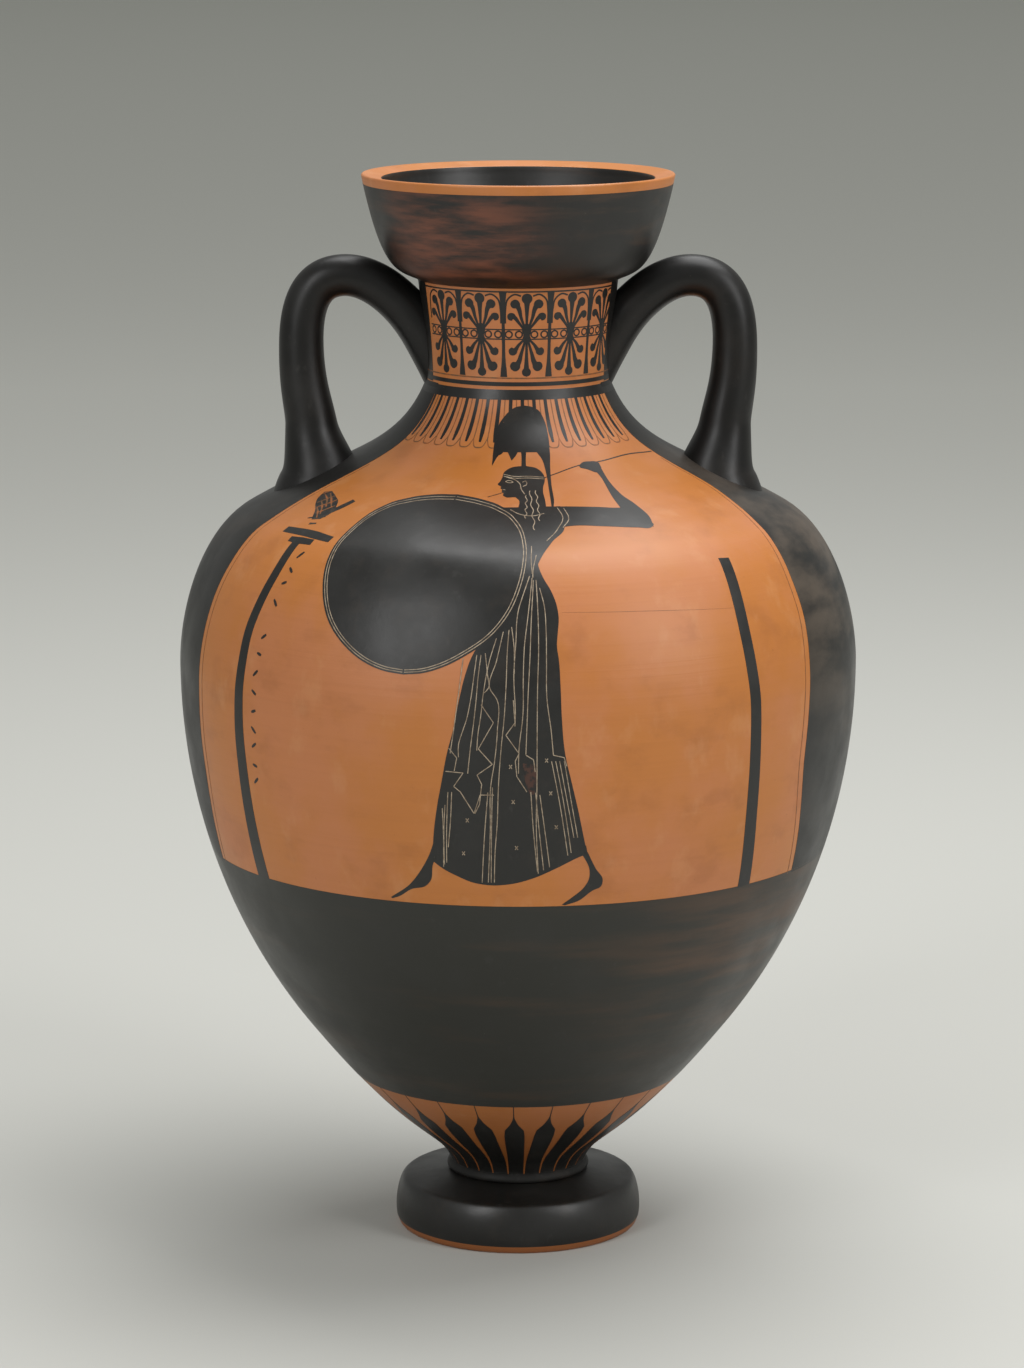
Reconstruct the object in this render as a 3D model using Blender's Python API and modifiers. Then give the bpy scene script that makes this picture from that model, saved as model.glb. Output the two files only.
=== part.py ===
"""Black-figure neck amphora of the broad-bellied prize type, modelled as the potter makes it.

The pot is thrown in sections that are luted together: a foot with a fillet ring, the lower and the
upper wall of the belly, the neck, the mouth, and two pulled handles.  Every section is a solid of its
own, and a thin luting gap parts it from its neighbours.

Frame: metres, +Z up, origin on the pot's axis in the plane that the foot rests on.  The main picture
faces -Y, and the handles stand at -X and +X.
"""

import math

import bmesh
import bpy
from mathutils import Vector

# ---------------------------------------------------------------- driving dimensions (metres)

LUTING_GAP = 0.0003          # between any two sections that touch

# Foot
FOOT_REST_RADIUS = 0.0705    # outer edge of the ring that the pot stands on
FOOT_WIDEST_RADIUS = 0.0738
FOOT_WIDEST_HEIGHT = 0.0090
FOOT_EDGE_RADIUS = 0.0693    # upper edge of the foot's side
FOOT_EDGE_HEIGHT = 0.0282
FOOT_SEAT_RISE = 0.0058      # the foot's top rises this much from its edge to the seat of the body
FOOT_REST_WIDTH = 0.0180     # width of the ring that the pot stands on
FOOT_HOLLOW_DEPTH = 0.0180   # of the cone cut into the foot from below

# Fillet ring round the joint of foot and body
FILLET_HEIGHT = 0.0060
FILLET_THICKNESS = 0.0022

# Belly
STEM_RADIUS = 0.0407         # where the belly stands on the foot
BELLY_RADIUS = 0.2005        # at the widest point
BELLY_RISE = 0.3137          # widest point above the foot's seat
FLARE_REACH = 0.520          # share of the way out from stem to belly where the hollow flare ends
FLARE_RISE = 0.282           # share of the way up at the same point
SHOULDER_INSET = 0.0391      # the wall's turning point lies this far inside the widest point
SHOULDER_RISE = 0.0909       # and this far above it
NECK_RISE = 0.0762           # foot of the neck above the turning point
BODY_WALL = 0.0080
FLOOR_THICKNESS = 0.0130
BELLY_SCARF = 0.0040         # the belly's joint face falls this much towards the inside

# Neck
NECK_RADIUS = 0.0539         # at its foot
NECK_FLARE = 0.0048          # wider by this at its top
NECK_HEIGHT = 0.0588
NECK_WALL = 0.0090
NECK_SCARF = 0.0030          # fall of the two joint faces of the neck

# Mouth
MOUTH_RADIUS = 0.0917        # at the lip
MOUTH_HEIGHT = 0.0614
LIP_WIDTH = 0.0117
LIP_FALL = 0.0025            # the lip is lower by this at its inner edge
LIP_ROUNDING = 0.0012

# Handles
HANDLE_SPAN = 0.1405         # from the pot's axis to the handle's outer side
HANDLE_RISE = 0.0148         # the arch stands this much above the top of the neck
HANDLE_THICKNESS = 0.0262
HANDLE_ROOT_DROP = 0.0326    # middle of the root on the neck, below the top of the neck
HANDLE_ROOT_RUN = 0.0340     # the rough root runs down inside the neck by this much
HANDLE_ARCH_REACH = 0.0425   # from the neck's top edge to the crown of the arch
HANDLE_LIMB_DROP = 0.0390    # from the top of the neck to the outermost point of the limb
HANDLE_FOOT_RADIUS = 0.1175  # from the pot's axis to the middle of the root on the shoulder
HANDLE_EMBED = 0.0120        # how far the rough foot runs into the wall before it is fitted

SEGMENTS = 40                # round every turned section

# ---------------------------------------------------------------- heights that follow

SEAT_Z = FOOT_EDGE_HEIGHT + FOOT_SEAT_RISE
BELLY_Z = SEAT_Z + BELLY_RISE
TURN_Z = BELLY_Z + SHOULDER_RISE
TURN_RADIUS = BELLY_RADIUS - SHOULDER_INSET
NECK_Z = TURN_Z + NECK_RISE
NECK_TOP_Z = NECK_Z + NECK_HEIGHT
NECK_TOP_RADIUS = NECK_RADIUS + NECK_FLARE
LIP_Z = NECK_TOP_Z + MOUTH_HEIGHT

# Directions of the wall, as angles above the horizontal
STEM_ANGLE = math.radians(68.1)
FLARE_ANGLE = math.radians(51.7)
TURN_ANGLE = math.radians(180.0 - 30.0)
NECK_ANGLE = math.radians(180.0 - 69.0)
MOUTH_START_ANGLE = math.radians(29.0)
MOUTH_LIP_ANGLE = math.radians(78.0)


# ---------------------------------------------------------------- outlines

def point_along(point, angle, distance):
    """The point at a distance from another, in a direction given as an angle above the horizontal."""
    return (point[0] + distance * math.cos(angle), point[1] + distance * math.sin(angle))


def bezier(start, pull_start, pull_end, end, count):
    """Points of a cubic Bezier curve, both ends included."""
    points = []
    for i in range(count + 1):
        t = i / count
        s = 1.0 - t
        weights = (s ** 3, 3 * s * s * t, 3 * s * t * t, t ** 3)
        corners = (start, pull_start, pull_end, end)
        points.append(tuple(sum(w * c[k] for w, c in zip(weights, corners)) for k in (0, 1)))
    return points


def belly_lower_curve():
    """Outside of the belly: a hollow flare above the stem, then convex up to the widest point."""
    stem = (STEM_RADIUS, SEAT_Z + FILLET_HEIGHT)
    widest = (BELLY_RADIUS, BELLY_Z)
    rise = BELLY_Z - stem[1]
    flare = (STEM_RADIUS + FLARE_REACH * (BELLY_RADIUS - STEM_RADIUS), stem[1] + FLARE_RISE * rise)
    hollow = bezier(stem, point_along(stem, STEM_ANGLE, 0.069 * rise),
                    point_along(flare, FLARE_ANGLE, -0.296 * rise), flare, 9)
    full = bezier(flare, point_along(flare, FLARE_ANGLE, 0.059 * rise),
                  (BELLY_RADIUS, BELLY_Z - 0.418 * rise), widest, 11)
    return hollow + full[1:]


def belly_upper_curve():
    """Outside of the belly from the widest point over the shoulder to the foot of the neck."""
    widest = (BELLY_RADIUS, BELLY_Z)
    turn = (TURN_RADIUS, TURN_Z)
    neck = (NECK_RADIUS, NECK_Z)
    over = TURN_RADIUS - NECK_RADIUS
    shoulder = bezier(widest, (BELLY_RADIUS, BELLY_Z + 0.332 * SHOULDER_RISE),
                      point_along(turn, TURN_ANGLE, -0.337 * SHOULDER_RISE), turn, 8)
    slope = bezier(turn, point_along(turn, TURN_ANGLE, 0.608 * over),
                   point_along(neck, NECK_ANGLE, -0.605 * NECK_RISE), neck, 9)
    return shoulder + slope[1:]


def neck_curve():
    """Outside of the neck, upright at its foot and flaring towards the mouth."""
    foot = (NECK_RADIUS, NECK_Z)
    top = (NECK_TOP_RADIUS, NECK_TOP_Z)
    return bezier(foot, (NECK_RADIUS, NECK_Z + 0.35 * NECK_HEIGHT),
                  (NECK_TOP_RADIUS - 0.45 * NECK_FLARE, NECK_TOP_Z - 0.30 * NECK_HEIGHT), top, 6)


def mouth_curve():
    """Outside of the mouth, from its junction with the neck to the lip's outer edge."""
    foot = (NECK_TOP_RADIUS, NECK_TOP_Z)
    lip = (MOUTH_RADIUS, LIP_Z - LIP_ROUNDING)
    reach = MOUTH_RADIUS - NECK_TOP_RADIUS
    return bezier(foot, point_along(foot, MOUTH_START_ANGLE, 0.40 * reach),
                  point_along(lip, MOUTH_LIP_ANGLE, -1.0 * MOUTH_HEIGHT), lip, 10)


def moved_inward(curve, distance):
    """The same curve moved towards the axis side, at right angles to itself."""
    moved = []
    last = len(curve) - 1
    for i, (radius, height) in enumerate(curve):
        before = curve[max(i - 1, 0)]
        after = curve[min(i + 1, last)]
        along = Vector((after[0] - before[0], after[1] - before[1])).normalized()
        moved.append((radius - distance * along.y, height + distance * along.x))
    return moved


def height_on(curve, radius):
    """Height at which a curve that narrows upwards reaches a radius."""
    for (r0, z0), (r1, z1) in zip(curve, curve[1:]):
        if r1 <= radius <= r0:
            return z0 + (z1 - z0) * (r0 - radius) / (r0 - r1)
    return curve[-1][1]


def joint_rise(scarf, wall):
    """Vertical distance that gives the luting gap across a joint face that falls by scarf over wall."""
    return LUTING_GAP * math.hypot(scarf, wall) / wall


# ---------------------------------------------------------------- building helpers

def clear_scene():
    """Remove what the scene holds at the start."""
    for item in list(bpy.data.objects):
        bpy.data.objects.remove(item, do_unlink=True)


def new_collection(name):
    """A collection linked to the scene."""
    collection = bpy.data.collections.new(name)
    bpy.context.scene.collection.children.link(collection)
    return collection


def new_material(name, color, roughness):
    """A Principled material of one colour."""
    material = bpy.data.materials.new(name)
    material.use_nodes = True
    shader = material.node_tree.nodes["Principled BSDF"]
    shader.inputs["Base Color"].default_value = (*color, 1.0)
    shader.inputs["Roughness"].default_value = roughness
    shader.inputs["Metallic"].default_value = 0.0
    material.diffuse_color = (*color, 1.0)
    return material


def turned(name, outline, closed, collection, material=None):
    """Turn an outline in the XZ plane about Z.  It runs down its outer side, top to bottom.

    A closed outline is a loop clear of the axis; an open one starts and ends on the axis.
    """
    mesh = bpy.data.meshes.new(name)
    edges = [(i, i + 1) for i in range(len(outline) - 1)]
    if closed:
        edges.append((len(outline) - 1, 0))
    mesh.from_pydata([(radius, 0.0, height) for radius, height in outline], edges, [])
    item = bpy.data.objects.new(name, mesh)
    collection.objects.link(item)
    screw = item.modifiers.new("turn", "SCREW")
    screw.axis = "Z"
    screw.angle = math.tau
    screw.steps = SEGMENTS
    screw.render_steps = SEGMENTS
    screw.use_merge_vertices = True
    screw.merge_threshold = 0.00001
    screw.use_smooth_shade = True
    if material is not None:
        mesh.materials.append(material)
    return item


def wall_outline(outer, inner):
    """Loop of a wall: down its outer curve and up its inner one.  Both curves are given upwards."""
    return list(reversed(outer)) + list(inner)


# ---------------------------------------------------------------- sections

def make_foot(collection, material):
    """Disc foot: flat seat, gently sloping top, convex side, resting ring and a hollow underneath."""
    seat_edge = STEM_RADIUS + LUTING_GAP + FILLET_THICKNESS
    top_edge = (FOOT_EDGE_RADIUS, FOOT_EDGE_HEIGHT)
    widest = (FOOT_WIDEST_RADIUS, FOOT_WIDEST_HEIGHT)
    side_height = FOOT_EDGE_HEIGHT - FOOT_WIDEST_HEIGHT
    side = bezier(top_edge, (FOOT_EDGE_RADIUS + 0.0022, FOOT_EDGE_HEIGHT - 0.1 * side_height),
                  (FOOT_WIDEST_RADIUS, FOOT_WIDEST_HEIGHT + 0.5 * side_height), widest, 6)
    lower = bezier(widest, (FOOT_WIDEST_RADIUS, 0.55 * FOOT_WIDEST_HEIGHT),
                   (FOOT_REST_RADIUS + 0.0020, 0.0), (FOOT_REST_RADIUS, 0.0), 4)
    rest_inner = FOOT_REST_RADIUS - FOOT_REST_WIDTH
    hollow = [(rest_inner, 0.0), (rest_inner - 0.0030, 0.30 * FOOT_HOLLOW_DEPTH),
              (0.30 * rest_inner, FOOT_HOLLOW_DEPTH), (0.0, FOOT_HOLLOW_DEPTH)]
    outline = [(0.0, SEAT_Z), (seat_edge, SEAT_Z)] + side + lower[1:] + hollow
    return turned("foot", outline, False, collection, material)


def make_foot_fillet(collection, material):
    """Half-round ring that covers the joint of foot and body."""
    inner = STEM_RADIUS + LUTING_GAP
    bottom = SEAT_Z + LUTING_GAP
    top = SEAT_Z + FILLET_HEIGHT
    round_side = bezier((inner, top), (inner + 1.3 * FILLET_THICKNESS, top),
                        (inner + 1.3 * FILLET_THICKNESS, bottom), (inner, bottom), 8)
    return turned("foot_fillet", round_side, True, collection, material)


def make_body_lower(collection, material):
    """Lower wall of the belly with its closed bottom; its rim takes the upper wall."""
    outer = belly_lower_curve()
    inner = moved_inward(outer, BODY_WALL)
    floor_z = SEAT_Z + LUTING_GAP + FLOOR_THICKNESS
    inner_up = [point for point in inner if point[1] > floor_z + 0.5 * BODY_WALL]
    floor_edge = (inner_up[0][0] - 0.6 * BODY_WALL, floor_z)
    bottom = SEAT_Z + LUTING_GAP
    half_gap = 0.5 * joint_rise(BELLY_SCARF, BODY_WALL)
    outer[-1] = (outer[-1][0], BELLY_Z - half_gap)
    inner_up[-1] = (inner_up[-1][0], BELLY_Z - BELLY_SCARF - half_gap)
    outline = [(0.0, floor_z), floor_edge] + inner_up + list(reversed(outer))
    outline += [(STEM_RADIUS, bottom), (0.0, bottom)]
    return turned("body_lower", outline, False, collection, material)


def make_body_upper(collection, material):
    """Upper wall of the belly and the shoulder, open below and at the neck."""
    outer = belly_upper_curve()
    inner = moved_inward(outer, BODY_WALL)
    half_gap = 0.5 * joint_rise(BELLY_SCARF, BODY_WALL)
    neck_gap = 0.5 * joint_rise(NECK_SCARF, NECK_WALL)
    outer[0] = (outer[0][0], BELLY_Z + half_gap)
    inner[0] = (inner[0][0], BELLY_Z - BELLY_SCARF + half_gap)
    outer[-1] = (NECK_RADIUS, NECK_Z - neck_gap)
    throat = NECK_RADIUS - NECK_WALL
    inner = [point for point in inner if point[0] > throat + 0.3 * BODY_WALL]
    inner.append((throat, NECK_Z - NECK_SCARF - neck_gap - 0.5 * BODY_WALL))
    inner.append((throat, NECK_Z - NECK_SCARF - neck_gap))
    return turned("body_upper", wall_outline(outer, inner), True, collection, material)


def make_neck(collection, material):
    """Neck, seated on the shoulder and carrying the mouth."""
    outer = neck_curve()
    inner = [(radius - NECK_WALL, height) for radius, height in outer]
    gap = 0.5 * joint_rise(NECK_SCARF, NECK_WALL)
    outer[0] = (outer[0][0], NECK_Z + gap)
    inner[0] = (inner[0][0], NECK_Z - NECK_SCARF + gap)
    outer[-1] = (outer[-1][0], NECK_TOP_Z - gap)
    inner[-1] = (inner[-1][0], NECK_TOP_Z - NECK_SCARF - gap)
    return turned("neck", wall_outline(outer, inner), True, collection, material)


def make_mouth(collection, material):
    """Echinus mouth: a thick cup, open to the neck, with a lip that falls slightly inwards."""
    outer = mouth_curve()
    gap = 0.5 * joint_rise(NECK_SCARF, NECK_WALL)
    outer[0] = (NECK_TOP_RADIUS, NECK_TOP_Z + gap)
    throat = NECK_TOP_RADIUS - NECK_WALL
    lip_inner = (MOUTH_RADIUS - LIP_WIDTH, LIP_Z - LIP_FALL)
    depth = MOUTH_HEIGHT - LIP_FALL
    cup = bezier((throat, NECK_TOP_Z + 0.14 * depth), (throat + 0.45 * (lip_inner[0] - throat),
                 NECK_TOP_Z + 0.22 * depth), (lip_inner[0] - 0.0040, lip_inner[1] - 0.45 * depth),
                 lip_inner, 7)
    inner = [(throat, NECK_TOP_Z - NECK_SCARF + gap)] + cup
    outer.append((MOUTH_RADIUS - LIP_ROUNDING, LIP_Z))
    return turned("mouth", wall_outline(outer, inner), True, collection, material)


def make_wall_envelope(cutters):
    """Solid of the pot's outer surface, one luting gap larger, which fits the handles to the wall."""
    outer = belly_lower_curve() + belly_upper_curve()[1:] + neck_curve()[1:] + mouth_curve()[1:]
    grown = moved_inward(outer, -LUTING_GAP)
    outline = [(0.0, grown[-1][1])] + list(reversed(grown)) + [(0.0, grown[0][1])]
    envelope = turned("wall_envelope", outline, False, cutters)
    envelope.display_type = "WIRE"
    envelope.hide_render = True
    return envelope


def handle_path():
    """Stations of a handle's middle line: (radius from the axis, height), thickness factor, tangent."""
    half = 0.5 * HANDLE_THICKNESS
    limb = HANDLE_SPAN - half
    crown = (NECK_TOP_RADIUS + HANDLE_ARCH_REACH, NECK_TOP_Z + HANDLE_RISE - half)
    root = (NECK_RADIUS + 0.05 * HANDLE_THICKNESS, NECK_TOP_Z - HANDLE_ROOT_DROP)
    inside = (root[0] - 0.5 * HANDLE_ROOT_RUN, root[1] - HANDLE_ROOT_RUN)
    shoulder_z = height_on(belly_upper_curve(), HANDLE_FOOT_RADIUS)
    limb_z = NECK_TOP_Z - HANDLE_LIMB_DROP
    fall = limb_z - shoulder_z
    arch = crown[0] - root[0]
    lower = (0.45 * limb + 0.55 * HANDLE_FOOT_RADIUS, shoulder_z + 0.36 * fall)
    foot = (HANDLE_FOOT_RADIUS, shoulder_z)
    below = (HANDLE_FOOT_RADIUS, shoulder_z - HANDLE_EMBED)
    lean = 0.12 * (limb - HANDLE_FOOT_RADIUS)
    return [
        (inside, 1.00, (0.15 * HANDLE_ROOT_RUN, 0.30 * HANDLE_ROOT_RUN)),
        (root, 1.04, (0.18 * arch, 0.32 * arch)),
        (crown, 0.93, (0.42 * arch, 0.0)),
        ((limb, limb_z), 1.00, (0.0, -0.34 * fall)),
        (lower, 1.16, (-lean, -0.16 * fall)),
        (foot, 1.72, (-0.5 * lean, -0.10 * fall)),
        (below, 2.00, (0.0, -0.3 * HANDLE_EMBED)),
    ]


def make_handle(name, side, envelope, collection, material):
    """Pulled handle of round section, thickened towards both roots and fitted to the wall."""
    curve = bpy.data.curves.new(name + "_path", "CURVE")
    curve.dimensions = "3D"
    curve.bevel_depth = 0.5 * HANDLE_THICKNESS
    curve.bevel_resolution = 5
    curve.resolution_u = 7
    curve.use_fill_caps = True
    spline = curve.splines.new("BEZIER")
    spline.radius_interpolation = "CARDINAL"
    stations = handle_path()
    spline.bezier_points.add(len(stations) - 1)
    for knot, (place, factor, pull) in zip(spline.bezier_points, stations):
        knot.co = (side * place[0], 0.0, place[1])
        knot.handle_left_type = "FREE"
        knot.handle_right_type = "FREE"
        knot.handle_left = (side * (place[0] - pull[0]), 0.0, place[1] - pull[1])
        knot.handle_right = (side * (place[0] + pull[0]), 0.0, place[1] + pull[1])
        knot.radius = factor
    rod = bpy.data.objects.new(name + "_rod", curve)
    collection.objects.link(rod)
    bpy.context.view_layer.update()
    evaluated = rod.evaluated_get(bpy.context.evaluated_depsgraph_get())
    mesh = bpy.data.meshes.new_from_object(evaluated)
    mesh.name = name
    matrix = rod.matrix_world.copy()
    bpy.data.objects.remove(rod, do_unlink=True)

    welded = bmesh.new()
    welded.from_mesh(mesh)
    bmesh.ops.remove_doubles(welded, verts=welded.verts, dist=0.00001)
    bmesh.ops.recalc_face_normals(welded, faces=welded.faces)
    welded.to_mesh(mesh)
    welded.free()

    mesh.materials.clear()
    mesh.materials.append(material)
    mesh.shade_smooth()
    mesh.set_sharp_from_angle(angle=math.radians(40.0))
    handle = bpy.data.objects.new(name, mesh)
    handle.matrix_world = matrix
    collection.objects.link(handle)
    fitted = handle.modifiers.new("fit to wall", "BOOLEAN")
    fitted.operation = "DIFFERENCE"
    fitted.solver = "EXACT"
    fitted.object = envelope
    return handle


# ---------------------------------------------------------------- assembly

def main():
    """Build every section of the amphora in its place."""
    clear_scene()
    pot = new_collection("amphora")
    cutters = new_collection("cutters")
    clay = new_material("fired clay", (0.48, 0.19, 0.07), 0.45)
    gloss = new_material("black gloss slip", (0.030, 0.028, 0.025), 0.25)

    make_foot(pot, gloss)
    make_foot_fillet(pot, gloss)
    make_body_lower(pot, clay)
    make_body_upper(pot, clay)
    make_neck(pot, clay)
    make_mouth(pot, gloss)
    envelope = make_wall_envelope(cutters)
    make_handle("handle_left", -1.0, envelope, pot, gloss)
    make_handle("handle_right", 1.0, envelope, pot, gloss)


main()
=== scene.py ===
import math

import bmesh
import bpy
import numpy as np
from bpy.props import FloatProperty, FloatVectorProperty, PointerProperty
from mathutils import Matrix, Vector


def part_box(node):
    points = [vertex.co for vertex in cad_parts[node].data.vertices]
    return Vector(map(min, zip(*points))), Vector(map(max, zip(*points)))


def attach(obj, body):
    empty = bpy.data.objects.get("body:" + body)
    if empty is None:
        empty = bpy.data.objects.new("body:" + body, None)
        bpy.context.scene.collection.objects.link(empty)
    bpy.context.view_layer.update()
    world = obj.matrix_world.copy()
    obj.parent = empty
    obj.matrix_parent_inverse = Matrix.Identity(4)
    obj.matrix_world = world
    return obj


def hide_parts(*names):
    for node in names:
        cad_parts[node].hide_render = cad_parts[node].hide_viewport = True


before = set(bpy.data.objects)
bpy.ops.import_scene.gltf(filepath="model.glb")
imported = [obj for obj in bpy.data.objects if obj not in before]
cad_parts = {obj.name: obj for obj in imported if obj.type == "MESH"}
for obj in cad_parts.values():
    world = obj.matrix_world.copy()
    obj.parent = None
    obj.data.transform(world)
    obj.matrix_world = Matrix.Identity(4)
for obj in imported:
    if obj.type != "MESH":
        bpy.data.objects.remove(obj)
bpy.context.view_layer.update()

# Black-figure neck amphora of the broad-bellied prize type, as its potter and its painter made it.
#
# The clay is turned in sections: foot, fillet, body, neck, mouth, and two pulled handles.  Each coat
# of slip is a thin closed plate that follows the wall and stands a tenth of a millimetre proud, and
# each incised line is a hair-thin strip of bare clay over it.
#
# Units are metres and +Z is up.  Painted work is set out in millimetres: across the wall as an arc
# measured at the belly's widest circle, from the middle of the front, and upwards as plain height.

bl_info = {
    "name": "Black-figure neck amphora",
    "version": (1, 0, 0),
    "blender": (4, 5, 0),
    "location": "View3D > Sidebar > Amphora",
    "description": "Turned sections, slip coats and incised drawing of a neck amphora",
    "category": "Object",
}

MM = 0.001
BELLY_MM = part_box("body_lower")[1].x / MM     # arc millimetres are counted on this circle
HALF_TURN = math.pi * BELLY_MM                # from the middle of the front to that of the back
SEGMENTS = 320                                # round every turned section
COAT = 0.10 * MM                              # how far slip stands proud of the clay
UNDER = 0.30 * MM                             # thickness of a coat, most of it sunk in the wall
SCRATCH = 2.4 * COAT                          # incised strips lie clear of the coats that they cross
SHARP = math.radians(40.0)                    # edges that turn by more than this stay sharp
WELD = 0.002 * MM                             # points nearer than this become one


# ---------------------------------------------------------------- colours and sizes

def linear(hex_code):
    """sRGB hex to linear light: c / 12.92 below 0.04045, else ((c + 0.055) / 1.055) to the power 2.4."""
    channels = np.array([int(hex_code[i:i + 2], 16) for i in (1, 3, 5)]) / 255.0
    low = channels / 12.92
    high = ((channels + 0.055) / 1.055) ** 2.4
    return tuple(float(c) for c in np.where(channels <= 0.04045, low, high))


def length(name, description, default):
    """A length property in metres."""
    return FloatProperty(name=name, description=description, default=default,
                         min=0.0, unit="LENGTH", precision=4)


def colour(name, description, hex_code):
    """A colour property whose default is given as sRGB hex."""
    return FloatVectorProperty(name=name, description=description, default=linear(hex_code),
                               size=3, min=0.0, max=1.0, subtype="COLOR")


class AmphoraSizes(bpy.types.PropertyGroup):
    """Sizes of the turned clay that a user may change."""
    body_wall: length("Body wall", "Thickness of the body's wall", 0.0080)
    neck_wall: length("Neck wall", "Thickness of the neck's wall", 0.0090)
    lip_width: length("Lip width", "Width of the flat lip", 0.0117)
    lip_reserve: length("Reserved lip edge", "Bare clay below the lip's outer edge", 0.0018)
    foot_reserve: length("Reserved foot edge", "Bare clay at the bottom of the foot", 0.0042)
    handle_thickness: length("Handle thickness", "Diameter of a handle at its crown", 0.0262)
    incision_width: length("Incision width", "Width of an incised line", 0.00048)


class AmphoraColours(bpy.types.PropertyGroup):
    """Colours of the clay and of the slips."""
    clay: colour("Clay", "Burnished fired clay", "#b56f30")
    clay_pink: colour("Pink clay", "Cloud of pinker firing", "#b87345")
    clay_pale: colour("Pale clay", "Scuffed or faded clay", "#c48a5c")
    # Dark clay serves darker patches, turning rings and specks, and low on the body it is painted shade under
    # the belly
    clay_dark: colour("Dark clay", "Clay low on the body", "#8f5326")
    gloss: colour("Black gloss", "Fired slip at full thickness", "#161513")
    gloss_deep: colour("Deep black gloss", "Slip of the handles", "#11100f")
    gloss_thin: colour("Thin gloss", "Slip where it was brushed thin", "#352d26")
    # Grey gloss: its 40 mm clouds are painted sheen on the same noise as the rougher places; its 6 mm flecks
    # are wear
    gloss_grey: colour("Grey gloss", "Cloud of greyer firing", "#2e2d2b")
    gloss_olive: colour("Olive gloss", "Slip of the wide lower band", "#21211b")
    gloss_brown: colour("Brown gloss", "Streak that fired brown", "#4a3524")
    gloss_worn: colour("Worn gloss", "Brown-grey place rubbed thin on the right side", "#51473d")
    scuff: colour("Scuff", "Rubbed speck in the gloss", "#6d665c")
    misfired: colour("Misfired red", "Slip that fired red", "#70402c")
    incision: colour("Incision", "Clay laid bare by the point", "#a3927c")
    incision_dark: colour("Filled incision", "Scratch that holds dirt", "#7f6e5a")
    dilute: colour("Dilute slip", "Thin brown line of watered slip", "#6b4a2c")
    added_red: colour("Added red", "Worn purple-red over the gloss", "#43291f")
    # The floor colour is the paper's tone next to the pot, darker than further out: painted shadow round the
    # pot
    floor: colour("Floor", "Pale studio floor", "#bbbbb6")


# ---------------------------------------------------------------- curves

def bezier(start, pull_start, pull_end, end, count=48):
    """Cubic Bezier in the (radius, height) plane: corner points weighted by s3, 3s2t, 3st2 and t3."""
    t = np.linspace(0.0, 1.0, count)[:, None]
    s = 1.0 - t
    p = np.array([start, pull_start, pull_end, end], float)
    return s ** 3 * p[0] + 3 * s * s * t * p[1] + 3 * s * t * t * p[2] + t ** 3 * p[3]


def towards(point, degrees, distance):
    """The point at a distance from another, in a direction given as an angle above the horizontal."""
    angle = math.radians(degrees)
    return (point[0] + distance * math.cos(angle), point[1] + distance * math.sin(angle))


def smooth(points, count):
    """Evenly spaced points on a smooth curve through the given ones.

    Each span is a cubic Hermite piece; its end slopes are differences taken over the chord length.
    """
    p = np.array(points, float)
    if len(p) < 3:
        t = np.linspace(0.0, 1.0, count)[:, None]
        return p[0] * (1 - t) + p[-1] * t
    chord = np.concatenate([[0.0], np.cumsum(np.linalg.norm(np.diff(p, axis=0), axis=1))])
    slope = np.gradient(p, chord, axis=0)
    place = np.linspace(0.0, chord[-1], 12 * len(p))
    span = np.clip(np.searchsorted(chord, place, "right") - 1, 0, len(p) - 2)
    wide = (chord[span + 1] - chord[span])[:, None]
    t = (place - chord[span])[:, None] / wide
    curve = ((2 * t ** 3 - 3 * t ** 2 + 1) * p[span] + (t ** 3 - 2 * t ** 2 + t) * wide * slope[span]
             + (3 * t ** 2 - 2 * t ** 3) * p[span + 1] + (t ** 3 - t ** 2) * wide * slope[span + 1])
    along = np.concatenate([[0.0], np.cumsum(np.linalg.norm(np.diff(curve, axis=0), axis=1))])
    even = np.linspace(0.0, along[-1], count)
    return np.stack([np.interp(even, along, curve[:, k]) for k in range(p.shape[1])], -1)


def shifted(curve, distance):
    """The curve moved at right angles to itself, towards its left as it runs: unit slope turned a quarter."""
    along = np.gradient(curve, axis=0)
    along /= np.linalg.norm(along, axis=1)[:, None]
    return curve + distance * np.stack([-along[:, 1], along[:, 0]], -1)


# ---------------------------------------------------------------- outlines of the turned clay

SEAT_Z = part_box("body_lower")[0].z
BELLY_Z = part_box("body_lower")[1].z
BELLY_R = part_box("body_lower")[1].x
NECK_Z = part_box("body_upper")[1].z
NECK_TOP_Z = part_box("neck")[1].z
NECK_TOP_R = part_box("neck")[1].x
LIP_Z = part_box("mouth")[1].z
LIP_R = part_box("mouth")[1].x
FOOT_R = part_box("foot")[1].x
FILLET_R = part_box("foot_fillet")[1].x
STEM_R = 0.0407
STEM_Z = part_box("foot_fillet")[1].z
STEM_ANGLE = 68.1              # of the outline above the stem, in degrees from level, as all angles here
FLARE_REACH = 0.520            # share of the way out to the belly where the hollow flare turns convex
FLARE_RISE = 0.282
FLARE_ANGLE = 51.7
TURN_R = BELLY_R - 0.0391      # where the shoulder's curve turns from convex to hollow
TURN_Z = BELLY_Z + 0.0909
TURN_ANGLE = 150.0
NECK_R = NECK_TOP_R - 0.0048
NECK_FOOT_ANGLE = 111.0
MOUTH_FOOT_ANGLE = 29.0
MOUTH_LIP_ANGLE = 78.0
LIP_ROUNDING = 0.0012
LIP_FALL = 0.0025              # the lip is lower by this at its inner edge
FOOT_TOP = (0.0683, 0.0289)    # where the slope under the fillet meets the foot's upper edge
FOOT_EDGE = (0.0693, 0.0282)
FOOT_WIDEST = (FOOT_R, 0.0090)
FOOT_REST_R = 0.0705
FOOT_REST_WIDTH = 0.0180       # of the ring that the pot stands on
FOOT_HOLLOW = 0.0180           # how deep the foot is hollowed within that ring
FLOOR_RISE = 0.013             # inside of the pot's floor above its seat


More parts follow.
